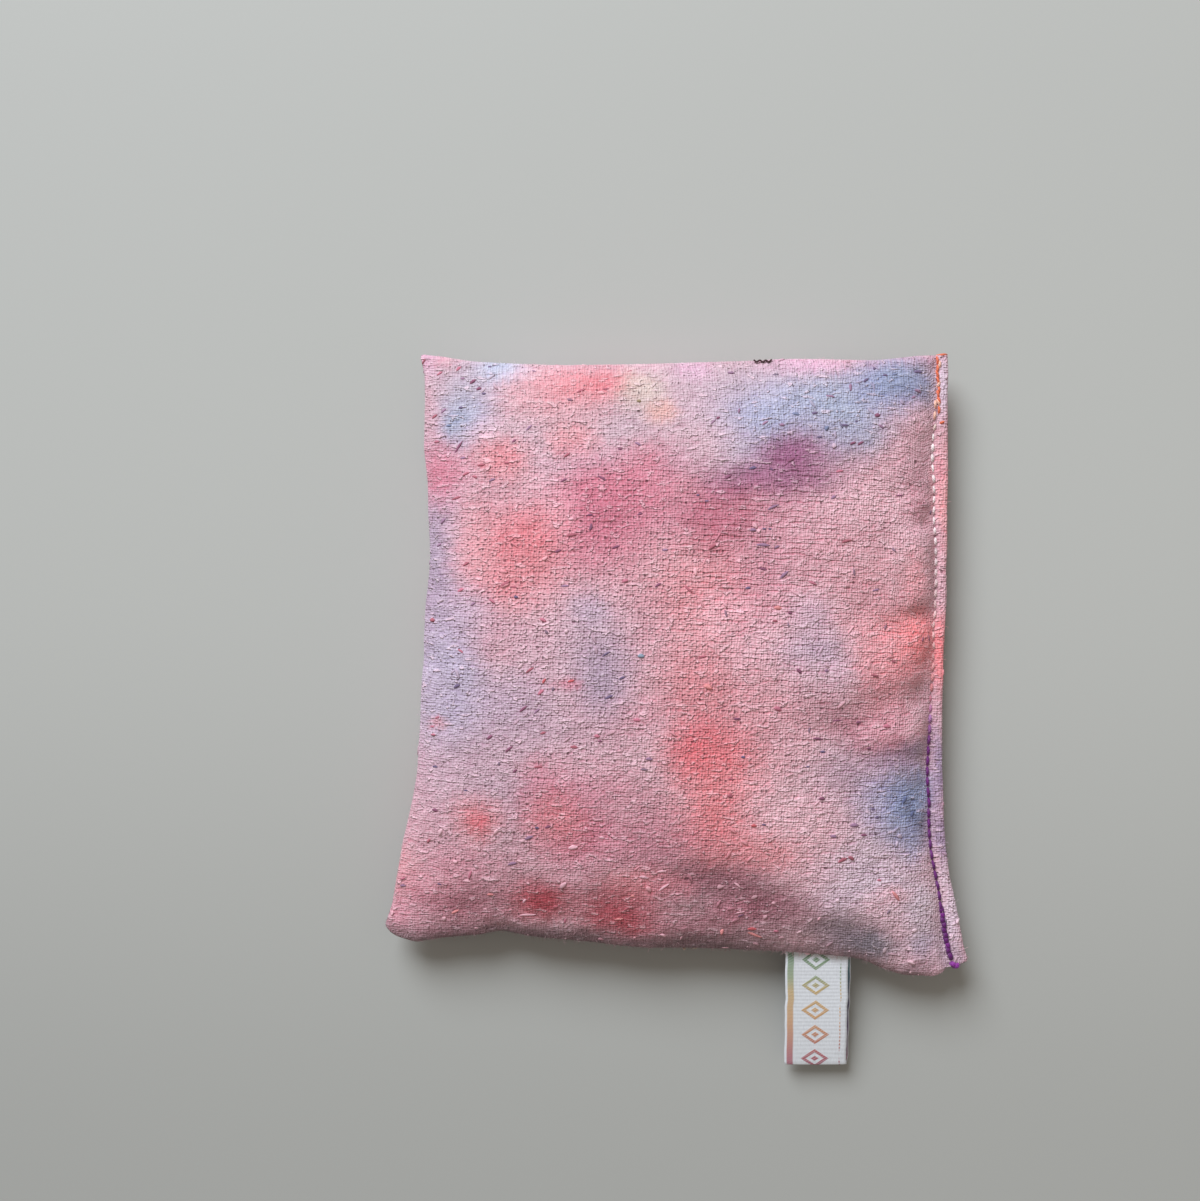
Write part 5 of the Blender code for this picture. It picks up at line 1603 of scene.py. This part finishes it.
# The slubs, nubs and fibres that stand out in the photograph: pixel x and y, length and breadth in
# pixels, lean in degrees, dye
seenDyes = {
    "ink": (122, 104, 138), "plum": (146, 90, 118), "dusk": (166, 128, 158), "blue": (138, 144, 178),
    "navy": (104, 110, 148), "rose": (204, 124, 146), "madder": (184, 106, 122), "coral": (234, 152, 154),
    "coralDeep": (208, 102, 110), "olive": (164, 144, 116), "teal": (152, 166, 186), "petal": (240, 186, 200),
    "cream": (228, 208, 192),
}
seenSlubs = [
    (875, 368, 5, 4, 60, "ink"), (866, 380, 6, 3, 35, "ink"), (851, 387, 8, 4, 85, "dusk"),
    (886, 375, 5, 3, 0, "ink"), (895, 374, 6, 3, 10, "blue"), (918, 372, 8, 4, 0, "ink"),
    (918, 391, 7, 4, -20, "dusk"), (914, 397, 5, 3, 30, "dusk"), (831, 396, 9, 3, 0, "dusk"),
    (815, 413, 6, 4, 20, "ink"), (796, 414, 7, 4, -10, "blue"), (782, 425, 5, 4, 0, "dusk"),
    (765, 423, 7, 3, 35, "dusk"), (739, 411, 5, 3, 80, "dusk"), (718, 418, 4, 3, 30, "plum"),
    (713, 422, 6, 2, 40, "dusk"), (731, 373, 6, 4, 0, "dusk"), (878, 415, 6, 5, 20, "plum"),
    (845, 425, 8, 3, 0, "ink"), (857, 421, 3, 2, 0, "ink"), (882, 426, 6, 3, -30, "dusk"),
    (827, 428, 5, 5, 60, "blue"), (820, 437, 6, 3, 0, "ink"), (853, 443, 6, 3, 20, "plum"),
    (753, 468, 7, 4, 20, "ink"), (728, 477, 7, 4, 40, "plum"), (791, 460, 8, 4, 35, "plum"),
    (785, 465, 7, 2, 35, "plum"), (861, 443, 7, 3, 30, "plum"), (840, 471, 7, 3, 10, "rose"),
    (490, 367, 4, 3, 0, "ink"), (473, 382, 7, 4, 35, "plum"), (479, 389, 5, 4, 30, "plum"),
    (484, 394, 4, 3, 0, "ink"), (534, 371, 4, 2, -20, "dusk"), (557, 364, 5, 3, 0, "rose"),
    (581, 391, 8, 3, 25, "madder"), (606, 389, 7, 3, 10, "madder"), (630, 371, 5, 2, 15, "madder"),
    (662, 367, 6, 3, 20, "rose"), (424, 362, 6, 3, 40, "madder"), (425, 371, 5, 4, 60, "plum"),
    (440, 374, 6, 3, 35, "rose"), (459, 369, 6, 4, 45, "rose"), (444, 411, 7, 3, 35, "dusk"),
    (435, 417, 6, 3, 35, "madder"), (461, 408, 4, 3, 0, "ink"), (463, 379, 4, 3, 0, "dusk"),
    (458, 448, 14, 3, 62, "plum"), (463, 458, 5, 3, 10, "dusk"), (449, 426, 5, 3, 0, "blue"),
    (437, 442, 5, 3, 10, "rose"), (514, 441, 5, 3, 40, "plum"), (567, 455, 7, 3, 35, "madder"),
    (529, 428, 7, 3, 50, "dusk"), (639, 401, 4, 4, 0, "olive"), (507, 463, 5, 3, 0, "madder"),
    (481, 465, 7, 3, 10, "madder"), (466, 474, 7, 3, 20, "madder"), (475, 477, 5, 3, -20, "madder"),
    (492, 480, 6, 3, 20, "dusk"), (602, 478, 9, 3, -25, "plum"), (564, 480, 8, 3, 30, "plum"),
    (620, 449, 4, 3, 0, "plum"), (638, 444, 6, 3, -25, "dusk"), (457, 498, 10, 3, 10, "madder"),
    (443, 521, 7, 4, 40, "dusk"), (505, 584, 9, 4, 30, "madder"), (514, 587, 6, 3, -10, "madder"),
    (572, 535, 11, 4, 12, "madder"), (558, 551, 6, 3, 15, "plum"), (606, 521, 10, 3, 5, "madder"),
    (590, 515, 5, 3, 0, "plum"), (616, 547, 8, 3, 25, "plum"), (640, 514, 5, 3, 20, "plum"),
    (466, 564, 7, 3, 30, "madder"), (439, 545, 5, 3, 25, "dusk"), (433, 620, 5, 5, 0, "madder"),
    (492, 601, 7, 3, -30, "rose"), (516, 597, 4, 3, 0, "ink"), (658, 585, 7, 3, 35, "plum"),
    (625, 581, 6, 4, 20, "rose"), (665, 550, 5, 3, 0, "dusk"), (473, 604, 5, 3, 40, "dusk"),
    (543, 620, 6, 4, -20, "rose"), (565, 586, 7, 3, 10, "dusk"), (461, 590, 7, 4, 20, "rose"),
    (763, 545, 12, 4, 3, "dusk"), (712, 547, 8, 4, 35, "madder"), (764, 529, 4, 2, 0, "ink"),
    (770, 529, 3, 2, 0, "ink"), (777, 547, 5, 3, 30, "dusk"), (763, 569, 7, 3, -15, "plum"),
    (784, 575, 10, 4, 42, "dusk"), (813, 583, 7, 3, -20, "rose"), (847, 541, 10, 3, 12, "madder"),
    (877, 590, 9, 3, 10, "dusk"), (748, 588, 5, 3, 0, "ink"), (688, 589, 8, 3, -35, "madder"),
    (773, 507, 11, 3, 30, "dusk"), (834, 497, 5, 4, 30, "dusk"), (901, 495, 7, 2, 0, "plum"),
    (753, 530, 6, 4, 0, "dusk"), (903, 597, 6, 2, 0, "madder"), (778, 608, 7, 5, 0, "coral"),
    (790, 613, 4, 3, 0, "plum"), (698, 495, 3, 2, 0, "ink"), (707, 501, 4, 2, 0, "ink"),
    (775, 621, 5, 3, 0, "madder"), (461, 651, 6, 3, -30, "rose"), (457, 686, 6, 4, 30, "ink"),
    (606, 654, 8, 2, 30, "ink"), (622, 678, 6, 3, 20, "ink"), (609, 697, 8, 3, 20, "ink"),
    (641, 656, 6, 5, 0, "teal"), (530, 670, 9, 3, 40, "madder"), (571, 681, 6, 3, 20, "coralDeep"),
    (544, 681, 5, 3, 60, "coralDeep"), (541, 692, 7, 4, 45, "rose"), (523, 709, 9, 3, 35, "plum"),
    (537, 711, 7, 3, 40, "dusk"), (438, 717, 5, 2, 20, "rose"), (433, 726, 5, 3, 0, "rose"),
    (434, 734, 5, 3, 0, "rose"), (490, 737, 6, 4, 45, "plum"), (509, 749, 9, 3, 45, "plum"),
    (543, 733, 5, 3, 25, "madder"), (436, 766, 6, 3, 0, "ink"), (574, 747, 7, 4, 0, "madder"),
    (597, 736, 5, 4, 0, "rose"), (600, 741, 4, 3, 0, "plum"), (637, 720, 7, 4, 0, "rose"),
    (515, 771, 5, 3, 40, "plum"), (538, 767, 8, 3, 0, "madder"), (649, 759, 6, 4, 0, "dusk"),
    (708, 687, 8, 6, -20, "coral"), (702, 657, 7, 3, 10, "madder"), (799, 671, 6, 4, -40, "plum"),
    (827, 671, 4, 4, 0, "dusk"), (876, 676, 8, 3, -15, "madder"), (895, 662, 5, 3, 0, "madder"),
    (737, 719, 7, 3, 0, "plum"), (778, 709, 8, 5, -20, "rose"), (818, 739, 9, 3, 0, "plum"),
    (838, 721, 9, 2, 0, "plum"), (860, 723, 5, 3, 0, "plum"), (888, 727, 8, 5, 0, "rose"),
    (743, 757, 4, 3, 0, "ink"), (823, 752, 5, 3, 0, "ink"), (870, 749, 4, 3, 0, "plum"),
    (808, 767, 4, 2, 0, "ink"), (731, 779, 5, 3, 0, "madder"), (436, 809, 6, 4, -10, "plum"),
    (430, 839, 5, 3, 50, "madder"), (466, 790, 4, 2, 0, "ink"), (529, 838, 8, 4, 30, "dusk"),
    (537, 828, 4, 3, 0, "ink"), (548, 827, 6, 3, 20, "plum"), (573, 848, 9, 6, 15, "petal"),
    (602, 838, 5, 4, 0, "petal"), (470, 875, 8, 3, 75, "rose"), (467, 881, 7, 4, 0, "petal"),
    (440, 883, 4, 2, 0, "ink"), (563, 886, 8, 6, 50, "petal"), (512, 864, 8, 4, 20, "dusk"),
    (490, 895, 6, 3, 0, "coral"), (524, 902, 5, 3, 60, "petal"), (485, 910, 4, 2, 0, "petal"),
    (455, 912, 8, 3, 25, "coral"), (527, 916, 16, 3, 9, "petal"), (565, 922, 5, 3, 80, "rose"),
    (619, 920, 8, 3, 15, "coral"), (633, 897, 4, 4, 0, "coral"), (644, 878, 9, 4, -10, "petal"),
    (476, 929, 4, 3, 0, "petal"), (498, 911, 4, 2, 0, "petal"), (404, 877, 6, 3, 20, "rose"),
    (404, 884, 6, 3, 10, "dusk"), (906, 801, 7, 4, 60, "navy"), (914, 815, 6, 4, 60, "navy"),
    (874, 810, 4, 3, 0, "ink"), (878, 818, 4, 3, 0, "ink"), (822, 799, 6, 4, 0, "plum"),
    (865, 836, 6, 3, 0, "plum"), (730, 796, 5, 5, 0, "madder"), (754, 826, 5, 4, 0, "coralDeep"),
    (764, 825, 4, 2, 0, "ink"), (843, 861, 9, 4, 20, "madder"), (852, 859, 7, 4, -30, "madder"),
    (855, 826, 8, 5, 0, "dusk"), (834, 837, 6, 4, 0, "dusk"), (896, 896, 11, 4, -45, "coral"),
    (664, 888, 12, 3, 45, "petal"), (662, 872, 9, 3, 5, "petal"), (738, 886, 8, 3, -35, "petal"),
    (774, 904, 4, 4, 0, "petal"), (740, 913, 9, 2, 15, "petal"), (722, 932, 6, 4, 80, "coral"),
    (753, 934, 17, 4, -22, "coral"), (752, 929, 9, 4, 0, "coralDeep"), (663, 935, 6, 4, -30, "petal"),
    (681, 938, 5, 2, 85, "petal"), (819, 919, 4, 3, 70, "petal"), (685, 950, 6, 4, 80, "cream"),
    (695, 949, 5, 3, 20, "cream"), (725, 947, 7, 2, 5, "petal"), (776, 931, 5, 3, 0, "rose"),
    (880, 881, 4, 3, 0, "rose"),
]


def makeSeenGroup():
    tree, enter, leave = geometryGroup("seenSlubs", {})
    placeAsTold(tree, enter, leave, lumpShape(tree))
    return tree


def seenMaterial():
    made, tree, surface = newMaterial("seenLint", {"Roughness": 0.95})
    plug(tree, attribute(tree, "tint", "Color"), surface.inputs["Base Color"])
    addBump(tree, surface, noise(tree, objectPlace(tree), 1 / (0.4 * mm), 3.0), 1.0, 0.14 * mm)
    return made


def makeSeenSlubs():
    rng = np.random.default_rng(31)
    grid = panels["frontCloth"]["grid"]
    upwards = gridNormals(grid).reshape(-1, 3)
    spots = grid.reshape(-1, 3)
    half = 0.5 * photo["metresPerPixel"]
    centres, turns, sizes, tints = [], [], [], []
    for pixelX, pixelY, length, breadth, lean, key in seenSlubs:
        x, y = fromPhoto(pixelX, pixelY, clothHeight(pixelX, pixelY))
        nearest = np.argmin(np.hypot(spots[:, 0] - x, spots[:, 1] - y))
        up = Vector(upwards[nearest])
        up = up if up.z > 0 else -up
        lean = math.radians(lean + rng.uniform(-6, 6))
        way = Vector((math.cos(lean), math.sin(lean), 0))
        side = up.cross(way).normalized()
        turns.append(Matrix((side.cross(up), side, up)).transposed().to_euler())
        centres.append((x, y, spots[nearest][2]))
        sizes.append((length * half, breadth * half * 0.85, breadth * half * 0.45))
        shade = rng.uniform(0.88, 1.08)
        tints.append([min(c * shade, 1.0) for c in srgb(*seenDyes[key])[:3]] + [1.0])
    piece = toldPoints("seenSlubs", centres, turns, sizes, tints)
    settle(piece, makeSeenGroup(), {"Surface": seenMaterial()})
    print("seen slubs", len(piece.data.polygons), "faces")


makeSeenSlubs()


# The beans inside

beans = {
    "step": 6.2 * mm,
    "seed": 21,
    "smallest": (2.2, 1.9, 1.7),
    "largest": (3.2, 2.4, 2.1),
    "clearance": 3.6 * mm,
    "colour": srgb(214, 200, 172),
    "shade": srgb(170, 140, 104),
}


def makeBeanGroup():
    inputs = {"Seed": "Int", "Smallest": "Vector", "Largest": "Vector"}
    tree, enter, leave = geometryGroup("beans", inputs)
    given = enter.outputs
    turn = asRotation(tree, randomVector(tree, (-3.1, -3.1, -3.1), (3.1, 3.1, 3.1), given["Seed"]))
    size = randomVector(tree, given["Smallest"], given["Largest"], given["Seed"])
    placeOnPoints(tree, meshPoints(tree, enter), lumpShape(tree), turn, size, given["Surface"], leave)
    return tree


def beanPlaces():
    # loosely stacked layers, kept where the cloth leaves room
    front = panels["frontCloth"]["grid"][::3, ::3].reshape(-1, 3)
    back = panels["backCloth"]["grid"][::3, ::3].reshape(-1, 3)
    rng = np.random.default_rng(beans["seed"])
    step = beans["step"]
    low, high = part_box("bean_fill")
    kept = []
    for k, z in enumerate(np.arange(3.0 * mm, high[2], step * 0.8)):
        for j, y in enumerate(np.arange(low[1], high[1], step * 0.9)):
            for x in np.arange(low[0] + (j % 2 + k % 2) * step / 2, high[0], step):
                place = np.array([x, y, z]) + rng.uniform(-0.8, 0.8, 3) * mm
                above = np.hypot(front[:, 0] - place[0], front[:, 1] - place[1])
                nearest = np.argmin(above)
                if above[nearest] > 1.5 * mm or place[2] > front[nearest][2]:
                    continue
                room = min(np.min(np.linalg.norm(cloth - place, axis=1)) for cloth in (front, back))
                if room > beans["clearance"]:
                    kept.append(place)
    return np.array(kept)


def makeBeans():
    surface, tree, shader = newMaterial("bean", {"Roughness": 0.5})
    mottle = noise(tree, objectPlace(tree), 1 / (2 * mm))
    plug(tree, blendColour(tree, mottle, beans["colour"], beans["shade"]), shader.inputs["Base Color"])
    places = beanPlaces()
    mesh = bpy.data.meshes.new("beanFilling")
    mesh.from_pydata(places.tolist(), [], [])
    piece = addObject("beanFilling", mesh, None, "bag")
    settle(piece, makeBeanGroup(), {
        "Seed": beans["seed"], "Smallest": [s * mm for s in beans["smallest"]],
        "Largest": [s * mm for s in beans["largest"]], "Surface": surface,
    })
    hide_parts("bean_fill")
    print("beans", len(places))


makeBeans()


# Floor, light and camera

stage = {
    "floorSize": 3.0,
    "floorColour": srgb(186, 187, 184),
    "worldColour": (1.0, 0.92, 0.82, 1.0),
    "worldStrength": 0.31,
    "lampPlace": (-0.42, 0.90, 0.756),
    "lampSize": 0.75,
    "lampWatts": 17.9,
    "lampColour": (0.90, 0.95, 1.0),
}


def floorMaterial():
    # a plain tile with painted light falloff: darker towards the foot, a little darker at the head and
    # lighter to the right
    made, tree, surface = newMaterial("floorTile", {"Roughness": 0.8})
    x, y = split(tree, objectPlace(tree))[:2]
    foot, head = ramp(tree, y, -0.11, 0.03, 0.88, 1.0), ramp(tree, y, 0.03, 0.17, 1.0, 0.95)
    shade = times(tree, times(tree, foot, head), ramp(tree, x, -0.16, 0.12, 0.96, 1.09, False))
    plug(tree, scaled(tree, stage["floorColour"][:3], shade), surface.inputs["Base Color"])
    return made


def makeStage():
    half = stage["floorSize"] / 2
    mesh = bpy.data.meshes.new("floor")
    corners = [(-half, -half, 0), (half, -half, 0), (half, half, 0), (-half, half, 0)]
    mesh.from_pydata(corners, [], [(0, 1, 2, 3)])
    addObject("floor", mesh, floorMaterial(), None)
    world = bpy.data.worlds.new("studio")
    world.use_nodes = True
    world.node_tree.nodes["Background"].inputs["Color"].default_value = stage["worldColour"]
    world.node_tree.nodes["Background"].inputs["Strength"].default_value = stage["worldStrength"]
    bpy.context.scene.world = world
    data = bpy.data.lights.new("window", "AREA")
    data.shape = "DISK"
    data.size = stage["lampSize"]
    data.energy = stage["lampWatts"]
    data.color = stage["lampColour"]
    lamp = bpy.data.objects.new("window", data)
    lamp.location = stage["lampPlace"]
    lamp.rotation_euler = (-Vector(stage["lampPlace"])).to_track_quat("-Z", "Y").to_euler()
    bpy.context.scene.collection.objects.link(lamp)


def makeCamera():
    x, y = fromPhoto(camera["pixelX"], camera["pixelY"])
    data = bpy.data.cameras.new("camera")
    data.sensor_width = camera["sensor"]
    shown = photo["height"] * photo["metresPerPixel"]
    data.lens = camera["sensor"] * camera["height"] / shown
    data.clip_start = 0.01
    seen = bpy.data.objects.new("camera", data)
    seen.location = (x, y, bag["seamHeight"] + camera["height"])
    bpy.context.scene.collection.objects.link(seen)
    bpy.context.scene.camera = seen


makeStage()
makeCamera()
bpy.context.scene.view_settings.view_transform = "Standard"
